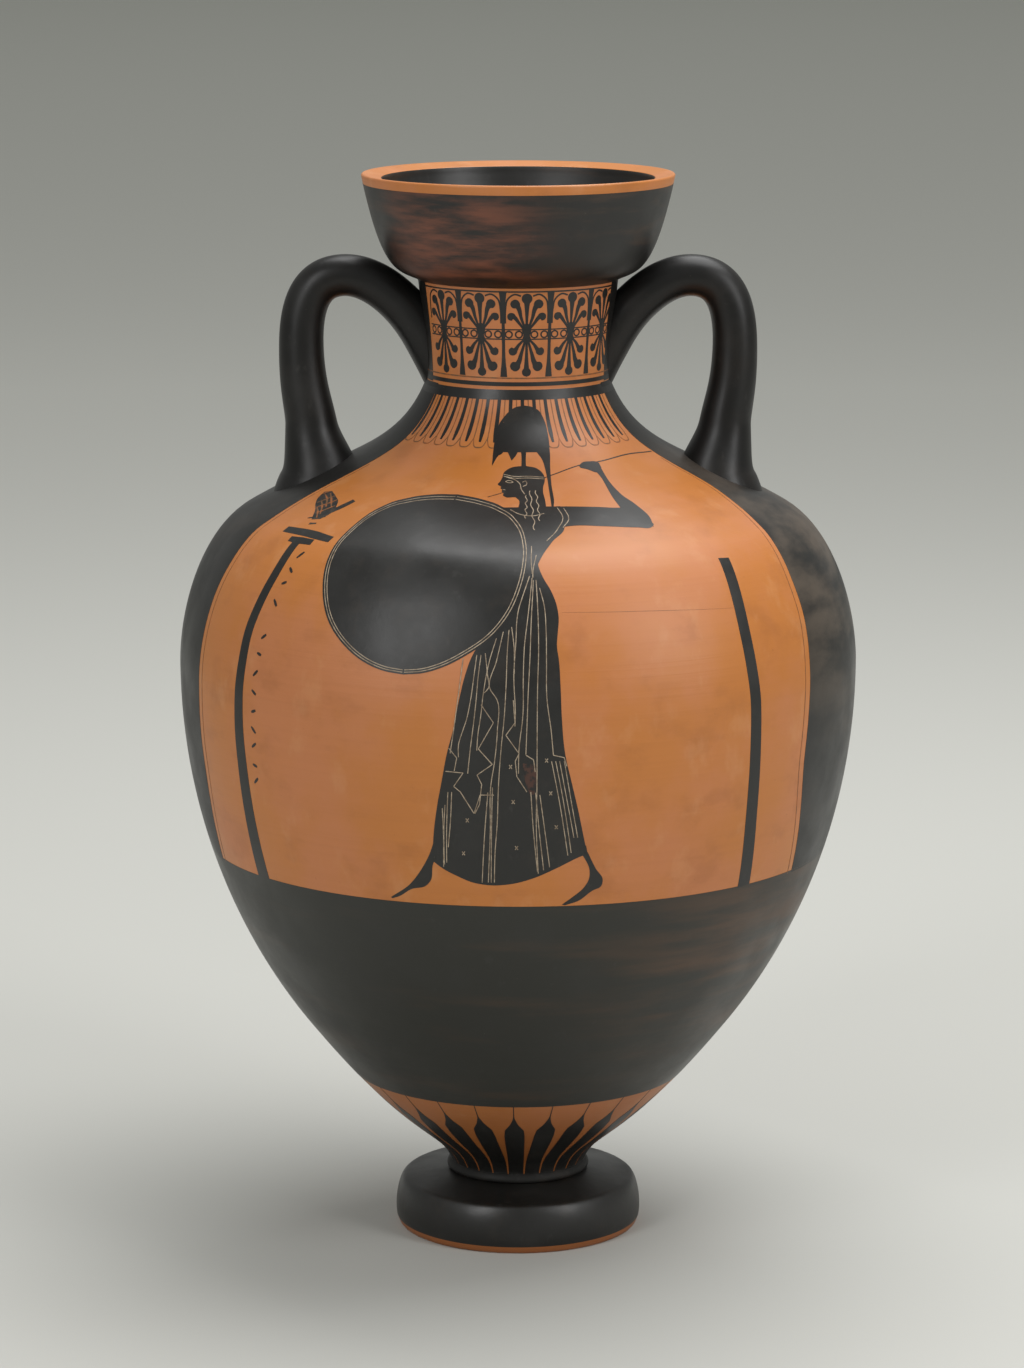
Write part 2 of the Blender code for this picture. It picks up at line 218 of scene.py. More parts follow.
def body_outline():
    """Outside of the body upwards: stem, hollow flare, convex belly, round shoulder, hollow neck foot."""
    rise = BELLY_Z - STEM_Z
    stem, widest, turn, neck = (STEM_R, STEM_Z), (BELLY_R, BELLY_Z), (TURN_R, TURN_Z), (NECK_R, NECK_Z)
    flare = (STEM_R + FLARE_REACH * (BELLY_R - STEM_R), STEM_Z + FLARE_RISE * rise)
    low = bezier(stem, towards(stem, STEM_ANGLE, 0.069 * rise),
                 towards(flare, FLARE_ANGLE, -0.296 * rise), flare, 36)
    full = bezier(flare, towards(flare, FLARE_ANGLE, 0.059 * rise),
                  (BELLY_R, BELLY_Z - 0.418 * rise), widest, 44)
    lower = np.concatenate([low, full[1:]])
    shoulder = bezier(widest, (BELLY_R, BELLY_Z + 0.0302), towards(turn, TURN_ANGLE, -0.0306), turn, 32)
    hollow = bezier(turn, towards(turn, TURN_ANGLE, 0.608 * (TURN_R - NECK_R)),
                    towards(neck, NECK_FOOT_ANGLE, -0.0461), neck, 44)
    return np.concatenate([[(STEM_R, SEAT_Z)], lower, shoulder[1:], hollow[1:]])


def neck_outline():
    """Outside of the neck, upright at its foot and flaring towards the mouth."""
    tall = NECK_TOP_Z - NECK_Z
    return bezier((NECK_R, NECK_Z), (NECK_R, NECK_Z + 0.35 * tall),
                  (NECK_TOP_R - 0.0022, NECK_TOP_Z - 0.30 * tall), (NECK_TOP_R, NECK_TOP_Z), 32)


def mouth_outline():
    """Outside of the mouth, a full curve that steepens to the lip."""
    foot, lip = (NECK_TOP_R, NECK_TOP_Z), (LIP_R, LIP_Z - LIP_ROUNDING)
    return bezier(foot, towards(foot, MOUTH_FOOT_ANGLE, 0.40 * (LIP_R - NECK_TOP_R)),
                  towards(lip, MOUTH_LIP_ANGLE, -(LIP_Z - NECK_TOP_Z)), lip, 40)


def cup_outline(lip_width, neck_wall):
    """Inside of the mouth from the throat up to the inner edge of the lip."""
    lip = (LIP_R - lip_width, LIP_Z - LIP_FALL)
    throat = NECK_TOP_R - neck_wall
    deep = lip[1] - NECK_TOP_Z
    return bezier((throat, NECK_TOP_Z + 0.14 * deep),
                  (throat + 0.45 * (lip[0] - throat), NECK_TOP_Z + 0.22 * deep),
                  (lip[0] - 0.0040, lip[1] - 0.45 * deep), lip, 32)


def foot_outline():
    """The foot from its seat outwards, over the edge and the convex side, to the ring that it rests on."""
    side = bezier(FOOT_EDGE, (0.0715, 0.0263), (FOOT_R, 0.0186), FOOT_WIDEST, 20)
    under = bezier(FOOT_WIDEST, (FOOT_R, 0.0050), (0.0725, 0.0), (FOOT_REST_R, 0.0), 12)
    slope = np.linspace((STEM_R - 0.0020, SEAT_Z - 0.0002), FOOT_TOP, 16)
    return np.concatenate([slope, side, under[1:]])


WALL = np.concatenate([body_outline(), neck_outline()[1:], mouth_outline()[1:]])
WALL_SLOPE = np.gradient(WALL[:, 0], WALL[:, 1])
WALL_ARC = np.concatenate([[0.0], np.cumsum(np.linalg.norm(np.diff(WALL, axis=0), axis=1))])


def wall_point(turn, height, lift):
    """Point over the outside of the pot at an angle from the front and a height.

    The wall's radius there, moved out along the outline's normal by lift, and turned about the axis.
    """
    radius = np.interp(height, WALL[:, 1], WALL[:, 0])
    slope = np.interp(height, WALL[:, 1], WALL_SLOPE)
    size = np.sqrt(1.0 + slope ** 2)
    out = radius + lift / size
    return np.stack([out * np.sin(turn), -out * np.cos(turn), height - lift * slope / size], -1)


# ---------------------------------------------------------------- ways to set out painted work

def on_front(grid):
    """Arc and height in millimetres, on the front: the arc over the belly's radius is the angle."""
    return grid[..., 0] / BELLY_MM, grid[..., 1] * MM


def on_back(grid):
    """The same on the back, half a turn on."""
    return grid[..., 0] / BELLY_MM + math.pi, grid[..., 1] * MM


def in_degrees(grid):
    """Degrees from the front and height in millimetres."""
    return np.radians(grid[..., 0]), grid[..., 1] * MM


def flat_at(arc, height, back=False):
    """A way to draw at true size round one point: across over the local radius, up along the wall."""
    start = np.interp(height * MM, WALL[:, 1], WALL_ARC)
    middle = arc / BELLY_MM + (math.pi if back else 0.0)

    def place(grid):
        z = np.interp(start + grid[..., 1] * MM, WALL_ARC, WALL[:, 1])
        return middle + grid[..., 0] * MM / np.interp(z, WALL[:, 1], WALL[:, 0]), z
    return place


# ---------------------------------------------------------------- meshes

def volume_sign(points, quads):
    """Sign of the volume inside a closed mesh: the sum of corner triple products over its triangles."""
    a, b, c, d = (points[quads[:, k]] for k in range(4))
    total = np.einsum("ij,ij->", a, np.cross(b, c)) + np.einsum("ij,ij->", a, np.cross(c, d))
    return 1.0 if total > 0 else -1.0


def quads_of(index):
    """Quads between neighbours in a grid of point numbers."""
    return np.stack([index[:-1, :-1], index[:-1, 1:], index[1:, 1:], index[1:, :-1]], -1).reshape(-1, 4)


def spun(outline):
    """An outline turned about the axis: its radius times the sine and cosine of each angle."""
    turn = np.linspace(0.0, 2 * math.pi, SEGMENTS, endpoint=False)
    radius, height = outline[:, 0][:, None], outline[:, 1][:, None]
    return np.stack([radius * np.sin(turn), -radius * np.cos(turn), height + 0 * turn], -1)


def plate(outer, inner, ring=False):
    """Closed plate between two grids of points: both faces, and a strip along every free edge."""
    rows, columns = outer.shape[:2]
    count = rows * columns
    index = np.arange(count).reshape(rows, columns)
    if ring:
        index = np.hstack([index, index[:, :1]])
    face = quads_of(index)
    if ring:
        loops = [index[0], index[-1, ::-1]]
    else:
        loops = [np.concatenate([index[0], index[1:, -1], index[-1, -2::-1], index[-2::-1, 0]])]
    strips = [np.stack([e[1:], e[:-1], e[:-1] + count, e[1:] + count], -1) for e in loops]
    quads = np.concatenate([face, face[:, ::-1] + count] + strips)
    points = np.concatenate([outer.reshape(-1, 3), inner.reshape(-1, 3)])
    if volume_sign(points, quads) < 0:
        quads = quads[:, ::-1]
    return points, quads


def turned_loop(outline, closed=True):
    """Surface of revolution of an outline, which runs back to its start when it is closed."""
    points = spun(outline).reshape(-1, 3)
    index = np.arange(len(outline) * SEGMENTS).reshape(len(outline), SEGMENTS)
    index = np.hstack([index, index[:, :1]])
    if closed:
        index = np.vstack([index, index[:1]])
    quads = quads_of(index)
    if volume_sign(points, quads) < 0:
        quads = quads[:, ::-1]
    return points, quads


def band(low, high, lift=COAT, rows=3):
    """Coat of slip right round the pot between two heights in millimetres."""
    turn = np.linspace(0.0, 2 * math.pi, SEGMENTS, endpoint=False)
    arcs = np.interp([low * MM, high * MM], WALL[:, 1], WALL_ARC)
    height = np.interp(np.linspace(*arcs, rows), WALL_ARC, WALL[:, 1])
    turns, heights = np.meshgrid(turn, height)
    return plate(wall_point(turns, heights, lift), wall_point(turns, heights, lift - UNDER), ring=True)


def band_on(outline):
    """Coat of slip right round a turned surface, given as the outline it covers, open side to the left."""
    return plate(spun(shifted(outline, COAT)), spun(shifted(outline, COAT - UNDER)), ring=True)


def fill(left, right, place, lift=COAT, rows=24, columns=8):
    """Painted area between two edges: straight across from each point of one to that of the other."""
    a, b = smooth(left, rows), smooth(right, rows)
    t = np.linspace(0.0, 1.0, columns)[None, :, None]
    turn, height = place(a[:, None] * (1 - t) + b[:, None] * t)
    return plate(wall_point(turn, height, lift), wall_point(turn, height, lift - UNDER))


def stroke(path, widths, place, lift=COAT, count=None, columns=3):
    """Brush stroke or scratch: a strip along a path, its width in millimetres read from end to end.

    Each cross line runs at right angles to the path in the wall's tangent plane, and is then laid back
    on the wall.
    """
    path = np.array(path, float)
    if count is None:
        count = int(np.clip(np.linalg.norm(np.diff(path, axis=0), axis=1).sum() / 1.6, 4, 90))
    turn, height = place(smooth(path, count))
    middle = wall_point(turn, height, 0.0)
    along = np.gradient(middle, axis=0)
    normal = wall_point(turn, height, 1.0) - middle
    side = np.cross(along, normal)
    side /= np.linalg.norm(side, axis=1)[:, None]
    width = np.interp(np.linspace(0, 1, count), np.linspace(0, 1, len(widths)), widths) * MM
    t = np.linspace(-0.5, 0.5, columns)
    edge = middle[:, None] + side[:, None] * (width[:, None] * t)[..., None]
    turn, height = np.arctan2(edge[..., 0], -edge[..., 1]), edge[..., 2]
    return plate(wall_point(turn, height, lift), wall_point(turn, height, lift - UNDER))


def piece(name, patches, finish, nodes=(), weld=False):
    """One object in a finish, from patches of points and quads, smooth except at its sharp edges."""
    patches = patches if isinstance(patches, list) else [patches]
    starts = np.concatenate([[0], np.cumsum([len(p) for p, _ in patches])[:-1]])
    points = np.concatenate([p for p, _ in patches])
    quads = np.concatenate([q + start for start, (_, q) in zip(starts, patches)])
    mesh = bpy.data.meshes.new(name)
    mesh.vertices.add(len(points))
    mesh.vertices.foreach_set("co", points.astype(np.float32).ravel())
    mesh.loops.add(quads.size)
    mesh.loops.foreach_set("vertex_index", quads.astype(np.int32).ravel())
    mesh.polygons.add(len(quads))
    mesh.polygons.foreach_set("loop_start", np.arange(0, quads.size, 4, dtype=np.int32))
    mesh.update(calc_edges=True)
    mesh.validate()
    if weld:
        welded = bmesh.new()
        welded.from_mesh(mesh)
        bmesh.ops.remove_doubles(welded, verts=welded.verts, dist=WELD)
        bmesh.ops.recalc_face_normals(welded, faces=welded.faces)
        welded.to_mesh(mesh)
        welded.free()
    mesh.shade_smooth()
    mesh.set_sharp_from_angle(angle=SHARP)
    mesh.materials.append(finishes()[finish])
    item = bpy.data.objects.new(name, mesh)
    bpy.context.scene.collection.objects.link(item)
    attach(item, "root")
    if nodes:
        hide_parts(*nodes)


# ---------------------------------------------------------------- materials

def add(tree, kind, sockets=(), **settings):
    """One shader node with its settings; each socket takes a value or a link from another node."""
    node = tree.nodes.new("ShaderNode" + kind)
    for key, value in settings.items():
        setattr(node, key, value)
    for socket, value in dict(sockets).items():
        if isinstance(value, bpy.types.NodeSocket):
            tree.links.new(value, node.inputs[socket])
        else:
            node.inputs[socket].default_value = value
    return node


def new_material(name):
    """An empty material, its tree and its object coordinates."""
    found = bpy.data.materials.new(name)
    found.use_nodes = True
    found.node_tree.nodes.clear()
    return found, found.node_tree, add(found.node_tree, "TexCoord").outputs["Object"]


def blotches(tree, coords, per_metre, low, high, least=0.0, most=1.0, detail=4.0):
    """Share that blotches cover: noise of so many per metre along each axis, spread between two levels."""
    placed = add(tree, "Mapping", {"Vector": coords, "Scale": per_metre})
    pattern = add(tree, "TexNoise", {"Vector": placed.outputs["Vector"], "Scale": 1.0, "Detail": detail,
                                     "Roughness": 0.58})
    return add(tree, "MapRange", {"Value": pattern.outputs["Fac"], "From Min": low, "From Max": high,
                                  "To Min": least, "To Max": most},
               interpolation_type="SMOOTHSTEP").outputs["Result"]


def layers(tree, under, *coats):
    """Coats of colour one over another; each is a share and the colour that it lays over the last."""
    for share, tint in coats:
        under = add(tree, "Mix", {"Factor": share, 6: under, 7: tint}, data_type="RGBA").outputs[2]
    return under


def surface(tree, tint, roughness, height, depth, **more):
    """Principled surface with a relief of a depth in metres: bump, shader and output in a row."""
    bump = add(tree, "Bump", {"Height": height, "Strength": 1.0, "Distance": depth})
    shader = add(tree, "BsdfPrincipled", {"Base Color": tint, "Roughness": roughness,
                                          "Normal": bump.outputs["Normal"], **more})
    add(tree, "OutputMaterial", {"Surface": shader.outputs["BSDF"]})


def burnished_clay(name, c):
    """Iron-rich clay, turned, burnished and fired: warm clouds of colour and a soft satin shine.

    Clouds are 80 mm across, darker and paler places 20 to 30 mm, and dark specks 2 mm.  The rings of
    turning are level streaks 3 mm wide and half a metre long.  From 14 cm down to 4 cm the clay is
    darkened towards the dark clay colour, a painted shade under the belly's overhang.
    """
    found, tree, coords = new_material(name)
    height = add(tree, "SeparateXYZ", {"Vector": coords}).outputs["Z"]
    # Painted shade: the clay darkens from 14 cm down to 4 cm, under the belly's overhang and over the foot
    painted_shade_low = add(tree, "MapRange", {"Value": height, "From Min": 0.14, "From Max": 0.04},
                   interpolation_type="SMOOTHSTEP").outputs["Result"]
    clouds = blotches(tree, coords, (13.0, 13.0, 10.0), 0.38, 0.66, detail=5.0)
    rings = blotches(tree, coords, (2.0, 2.0, 330.0), 0.35, 0.75, detail=3.0)
    tint = layers(tree, c["clay"],
                  (clouds, c["clay_pink"]),
                  (blotches(tree, coords, (34.0, 34.0, 46.0), 0.50, 0.72, 0.0, 0.28), c["clay_dark"]),
                  (blotches(tree, coords, (48.0, 48.0, 30.0), 0.54, 0.70, 0.0, 0.30), c["clay_pale"]),
                  (painted_shade_low, c["clay_dark"]),
                  (blotches(tree, coords, (2.0, 2.0, 330.0), 0.35, 0.75, 0.0, 0.07), c["clay_dark"]),
                  (blotches(tree, coords, (420.0, 420.0, 420.0), 0.68, 0.78, 0.0, 0.40), c["clay_dark"]))
    rough = blotches(tree, coords, (13.0, 13.0, 10.0), 0.38, 0.66, 0.38, 0.48, 5.0)
    surface(tree, tint, rough, rings, 0.00004)
    return found


def brushed_gloss(name, base, thin, thin_share, streaks, rough, c, patch=None, shine=0.5):
    """Levigated clay slip fired black: satin, clouded, browner where the brush left it thin.

    Over it lie grey clouds 40 mm across, a painted sheen laid where the slip is rougher, grey flecks
    of wear 6 mm across and rubbed specks of 2 mm.  streaks is how many brush marks go to a metre
    along each axis.  patch is (colour, middle, reach) of a place that fired another colour.
    """
    found, tree, coords = new_material(name)
    # Second coat: painted sheen, grey clouds on the same noise as the rougher places; third coat: grey flecks
    # of wear
    coats = [(blotches(tree, coords, streaks, 0.50, 0.74, 0.0, thin_share, 6.0), thin),
             (blotches(tree, coords, (24.0, 24.0, 24.0), 0.46, 0.76, 0.0, 0.34, 5.0), c["gloss_grey"]),
             (blotches(tree, coords, (160.0, 160.0, 120.0), 0.60, 0.74, 0.0, 0.45, 5.0), c["gloss_grey"]),
             (blotches(tree, coords, (520.0, 520.0, 520.0), 0.72, 0.80, 0.0, 0.5), c["scuff"])]
    if patch is not None:
        tint, middle, reach = patch
        moved = add(tree, "VectorMath", {0: coords, 1: middle}, operation="SUBTRACT")
        away = add(tree, "VectorMath", {0: moved.outputs["Vector"]}, operation="LENGTH")
        near = add(tree, "MapRange", {"Value": away.outputs["Value"], "From Min": reach,
                                      "From Max": 0.25 * reach}, interpolation_type="SMOOTHSTEP")
        both = add(tree, "Math", {0: near.outputs["Result"],
                                  1: blotches(tree, coords, streaks, 0.36, 0.62, 0.0, 0.9, 6.0)},
                   operation="MULTIPLY")
        coats.append((both.outputs["Value"], tint))
    sheen = blotches(tree, coords, (24.0, 24.0, 24.0), 0.3, 0.7, rough - 0.05, rough + 0.09, 5.0)
    surface(tree, layers(tree, base, *coats), sheen, blotches(tree, coords, streaks, 0.2, 0.8, detail=6.0),
            0.00008, **{"Specular IOR Level": shine})
    return found


def plain_line(name, base, other, rough):
    """Thin line of slip, or of clay laid bare: one colour broken by a second every 4 mm or so."""
    found, tree, coords = new_material(name)
    broken = blotches(tree, coords, (240.0, 240.0, 240.0), 0.42, 0.62)
    surface(tree, layers(tree, base, (broken, other)), rough, broken, 0.00001)
    return found


def finishes():
    """The materials by short name, made once."""
    colours = bpy.context.scene.amphora_colours
    c = {key: (*getattr(colours, key), 1.0) for key in AmphoraColours.__annotations__}
    if "burnished_red_clay" not in bpy.data.materials:
        burnished_clay("burnished_red_clay", c)
        brushed_gloss("black_gloss_slip_fired", c["gloss"], c["gloss_thin"], 0.30,
                      (60.0, 60.0, 60.0), 0.38, c)
        brushed_gloss("black_gloss_slip_sides", c["gloss"], c["gloss_thin"], 0.38,
                      (12.0, 12.0, 34.0), 0.40, c, (c["gloss_worn"], (0.175, -0.05, 0.42), 0.14),
                      shine=0.36)
        brushed_gloss("black_gloss_slip_lower", c["gloss_olive"], c["gloss_brown"], 0.38,
                      (7.0, 7.0, 60.0), 0.40, c, (c["gloss_brown"], (0.13, -0.10, 0.19), 0.13))
        brushed_gloss("black_gloss_slip_mouth", c["gloss"], c["gloss_brown"], 0.50,
                      (16.0, 16.0, 95.0), 0.42, c, (c["misfired"], (-0.036, -0.072, 0.600), 0.068))
        brushed_gloss("black_gloss_slip_handles", c["gloss_deep"], c["gloss_thin"], 0.18,
                      (30.0, 30.0, 30.0), 0.38, c, shine=0.34)
        brushed_gloss("black_gloss_slip_fillet", c["gloss"], c["gloss_thin"], 0.40,
                      (60.0, 60.0, 60.0), 0.62, c, shine=0.30)
        plain_line("thin_slip_line", c["gloss"], c["gloss_thin"], 0.45)
        plain_line("incised_bare_clay", c["incision"], c["incision_dark"], 0.6)
        plain_line("dilute_brown_slip", c["dilute"], c["clay_dark"], 0.5)
        plain_line("added_red_worn", c["added_red"], c["gloss"], 0.6)
    names = {"clay": "burnished_red_clay", "black": "black_gloss_slip_fired",
             "sides": "black_gloss_slip_sides", "lower": "black_gloss_slip_lower",
             "mouth": "black_gloss_slip_mouth", "handles": "black_gloss_slip_handles",
             "fillet": "black_gloss_slip_fillet",
             "thin": "thin_slip_line", "incised": "incised_bare_clay",
             "dilute": "dilute_brown_slip", "red": "added_red_worn"}
    return {key: bpy.data.materials[value] for key, value in names.items()}


# ---------------------------------------------------------------- the turned clay

class AMPHORA_OT_body(bpy.types.Operator):
    """Turn the body: one closed wall from the floor to the foot of the neck"""
    bl_idname = "amphora.body"
    bl_label = "Body"

    def execute(self, context):
        sizes = context.scene.amphora_sizes
        outer = body_outline()
        inner = shifted(outer[1:], sizes.body_wall)
        floor = SEAT_Z + FLOOR_RISE
        throat = NECK_R - sizes.neck_wall
        inner = inner[(inner[:, 1] > floor + 0.004) & (inner[:, 0] > throat + 0.002)]
        loop = np.concatenate([[(0.0, floor)], [(inner[0, 0] - 0.005, floor)], inner,
                               [(throat, NECK_Z - 0.008), (throat, NECK_Z)], outer[::-1],
                               [(0.0, SEAT_Z)]])
        piece("body_wall", turned_loop(loop, closed=False), "clay",
              nodes=("body_lower", "body_upper"), weld=True)
        return {"FINISHED"}


class AMPHORA_OT_neck(bpy.types.Operator):
    """Turn the neck, a ring set on the shoulder"""
    bl_idname = "amphora.neck"
    bl_label = "Neck"

    def execute(self, context):
        wall = context.scene.amphora_sizes.neck_wall
        outer = neck_outline()
        outer = np.concatenate([[(NECK_R, NECK_Z - 0.002)], outer, [(NECK_TOP_R, NECK_TOP_Z + 0.001)]])
        loop = np.concatenate([outer, outer[::-1] - (wall, 0.0)])
        piece("neck_wall", turned_loop(loop), "clay", nodes=("neck",))
        inside = outer[::-1] - (wall, 0.0)
        piece("neck_inside_gloss", band_on(inside[::-1]), "mouth")
        return {"FINISHED"}


class AMPHORA_OT_mouth(bpy.types.Operator):
    """Turn the mouth and brush its slip, leaving the lip bare"""
    bl_idname = "amphora.mouth"
    bl_label = "Mouth"

    def execute(self, context):
        sizes = context.scene.amphora_sizes
        outer = mouth_outline()
        cup = cup_outline(sizes.lip_width, sizes.neck_wall)
        angles = np.radians(np.linspace(0.0, 90.0, 8))[1:]
        edge = np.stack([LIP_R - LIP_ROUNDING * (1.0 - np.cos(angles)),
                         LIP_Z - LIP_ROUNDING * (1.0 - np.sin(angles))], -1)
        flat = np.linspace(edge[-1], cup[-1] + (LIP_ROUNDING, 0.0002), 6)[1:]
        rounded = bezier(flat[-1], cup[-1], cup[-1], cup[-1] - (0.0004, LIP_ROUNDING), 6)[1:]
        down = cup[::-1][cup[::-1][:, 1] < cup[-1, 1] - 0.002]
        throat = NECK_TOP_R - sizes.neck_wall
        loop = np.concatenate([outer, edge, flat, rounded, down, [(throat, NECK_TOP_Z)]])
        piece("mouth_cup", turned_loop(loop), "clay", nodes=("mouth",))
        coated = outer[outer[:, 1] < LIP_Z - sizes.lip_reserve]
        piece("mouth_outside_gloss", band_on(coated[::-1]), "mouth")
        piece("mouth_inside_gloss", band_on(np.concatenate([rounded[2:], down])[::-1]), "mouth")
        return {"FINISHED"}


class AMPHORA_OT_foot(bpy.types.Operator):
    """Turn the foot and its fillet ring, and brush their slip"""
    bl_idname = "amphora.foot"
    bl_label = "Foot and fillet"

    def execute(self, context):
        outer = foot_outline()
        inner_r = FOOT_REST_R - FOOT_REST_WIDTH
        hollow = smooth([(inner_r, 0.0), (0.0500, 0.0048), (0.0380, 0.0125), (0.0158, FOOT_HOLLOW),
                         (0.0, FOOT_HOLLOW)], 24)
        loop = np.concatenate([[(0.0, SEAT_Z - 0.0003)], outer, hollow])
        piece("foot_disc", turned_loop(loop, closed=False), "clay",
              nodes=("foot",), weld=True)
        reserve = context.scene.amphora_sizes.foot_reserve
        coated = outer[outer[:, 1] > reserve]
        piece("foot_gloss", band_on(coated), "black")
        inner, top, bottom = STEM_R - 0.001, STEM_Z + 0.0004, SEAT_Z - 0.0004
        reach = FILLET_R - inner
        ring = bezier((inner, top), (inner + 0.9 * reach, top - 0.0014), (inner + 1.5 * reach, bottom),
                      (inner, bottom), 24)
        piece("foot_fillet_ring", turned_loop(ring), "fillet", nodes=("foot_fillet",))
        return {"FINISHED"}


def shoulder_height(radius):
    """Height of the shoulder's outside at a radius."""
    over = WALL[(WALL[:, 1] > BELLY_Z) & (WALL[:, 1] < NECK_Z)][::-1]
    return np.interp(radius, over[:, 0], over[:, 1])


HANDLE_REACH = 0.1405          # outer side of a handle from the axis
HANDLE_FOOT_R = 0.1175
ROOT_DEPTH = 3.0 * MM          # how deep a handle's end may stand in the wall


def handle_line(thickness):
    """Middle line of a handle as Bezier spans between seven stations, with a thickness factor along it.

    It leaves the neck steeply, turns over at the crown, and falls to a spreading foot on the shoulder.
    """
    limb = HANDLE_REACH - 0.5 * thickness
    root = (NECK_R + 0.05 * thickness, NECK_TOP_Z - 0.0326)
    crown = (NECK_TOP_R + 0.0425, NECK_TOP_Z + 0.0148 - 0.5 * thickness)
    foot = (HANDLE_FOOT_R, float(shoulder_height(HANDLE_FOOT_R)))
    limb_z = NECK_TOP_Z - 0.0390
    fall, arch = limb_z - foot[1], crown[0] - root[0]
    lower = (0.45 * limb + 0.55 * foot[0], foot[1] + 0.36 * fall)
    lean = 0.12 * (limb - foot[0])
    stations = [
        ((root[0] - 0.0170, root[1] - 0.0340), 1.00, (0.0051, 0.0102)),
        (root, 1.04, (0.18 * arch, 0.32 * arch)),
        (crown, 0.93, (0.42 * arch, 0.0)),
        ((limb, limb_z), 1.00, (0.0, -0.34 * fall)),
        (lower, 1.16, (-lean, -0.16 * fall)),
        (foot, 1.72, (-0.5 * lean, -0.10 * fall)),
        ((foot[0], foot[1] - 0.0300), 2.50, (0.0, -0.0090)),
    ]
    spans, factors = [], []
    for (here, f, pull), (there, g, draw) in zip(stations, stations[1:]):
        spans.append(bezier(here, np.add(here, pull), np.subtract(there, draw), there, 28)[:-1])
        factors.append(np.linspace(f, g, 28)[:-1])
    line, factor = np.concatenate(spans), np.concatenate(factors)
    ease = np.hanning(17)
    padded = np.pad(factor, 8, mode="edge")
    return line, np.convolve(padded, ease / ease.sum(), mode="valid")


def handle_tube(side, thickness):
    """Round rod carried along its middle line, thicker towards both roots.

    Points are the middle line plus a circle in the plane across it.  What would stand deeper in the
    wall than the roots may is brought out to that depth: outwards at the neck, upwards on the shoulder.
    The tube is open at both ends, which lie inside the wall.
    """
    line, factor = handle_line(thickness)
    radius = 0.5 * thickness * factor
    along = np.gradient(line, axis=0)
    along /= np.linalg.norm(along, axis=1)[:, None]
    turn = np.linspace(0.0, 2 * math.pi, 48, endpoint=False)
    across = radius[:, None] * np.cos(turn)
    x = line[:, 0][:, None] - along[:, 1][:, None] * across
    z = line[:, 1][:, None] + along[:, 0][:, None] * across
    y = radius[:, None] * np.sin(turn)
    away = np.hypot(x, y)
    limb = (np.arange(len(line)) > 0.45 * len(line))[:, None]
    z = np.where(limb, np.maximum(z, shoulder_height(away) - ROOT_DEPTH), z)
    least = np.interp(z, WALL[:, 1], WALL[:, 0]) - ROOT_DEPTH
    push = np.where(limb, 1.0, np.maximum(1.0, least / away))
    points = np.stack([side * x * push, y * push, z], -1)
    index = np.arange(points.size // 3).reshape(points.shape[:2])
    index = np.hstack([index, index[:, :1]])
    return points.reshape(-1, 3), quads_of(index)


class AMPHORA_OT_handles(bpy.types.Operator):
    """Pull the two handles and set them on neck and shoulder"""
    bl_idname = "amphora.handles"
    bl_label = "Handles"

    def execute(self, context):
        thickness = context.scene.amphora_sizes.handle_thickness
        for name, side in (("left", -1.0), ("right", 1.0)):
            piece("handle_rod_" + name, handle_tube(side, thickness), "handles",
                  nodes=("handle_" + name,), weld=True)
        return {"FINISHED"}


# ---------------------------------------------------------------- slip: zones and bands

PANEL_LEFT = [(-209, 515), (-210, 500), (-212, 484), (-222, 470), (-229, 456), (-229, 438),
              (-229, 422), (-232, 402), (-234, 377), (-235, 345), (-236, 317), (-236, 290),
              (-240, 262), (-245, 238)]
PANEL_RIGHT = [(221, 515), (222, 500), (224, 484), (230, 473), (232, 462), (221, 449), (207, 434),
               (202, 416), (201, 390), (198, 362), (196, 332), (195, 305), (199, 280), (203, 262),
               (208, 238)]
GROUND_LINE = 239.5
RAY_TOP = 98.5
TONGUE_TOP = 508.8
TONGUE_ARCS = np.arange(-204.0, 219.0, 23.6)     # on each side of the pot
HALF_TONGUE = 11.8
BANDS = ((TONGUE_TOP, 514.4, 1.2 * COAT), (516.4, 518.8))     # at the foot of the neck
NECK_SIDES = ((68, 115), (248, 293))             # degrees that the black beside the handles covers
NECK_PAINT = (515.5, 573.5)                      # and its lowest and highest line
RAYS = 27
RAY_START = -1.6                                 # degrees from the front


class AMPHORA_OT_zones(bpy.types.Operator):
    """Brush the black zones: below the pictures, under the handles, and at the foot of the neck"""
    bl_idname = "amphora.zones"
    bl_label = "Black zones"

    def execute(self, context):
        piece("lower_band_gloss", band(RAY_TOP, GROUND_LINE, rows=40), "lower")
        piece("neck_foot_gloss", [band(*limits) for limits in BANDS], "black")
        left, right = np.array(PANEL_LEFT, float), np.array(PANEL_RIGHT, float)
        sides = [fill(right, left + (HALF_TURN, 0), on_front, rows=90, columns=56),
                 fill(right, left + (HALF_TURN, 0), on_back, rows=90, columns=56)]
        piece("handle_zone_gloss", sides, "sides")
        neck = [fill([(a, z) for z in NECK_PAINT], [(b, z) for z in NECK_PAINT], in_degrees,
                     rows=30, columns=30) for a, b in NECK_SIDES]
        piece("neck_side_gloss", neck, "sides")
        return {"FINISHED"}


# ---------------------------------------------------------------- slip: tongues and rays

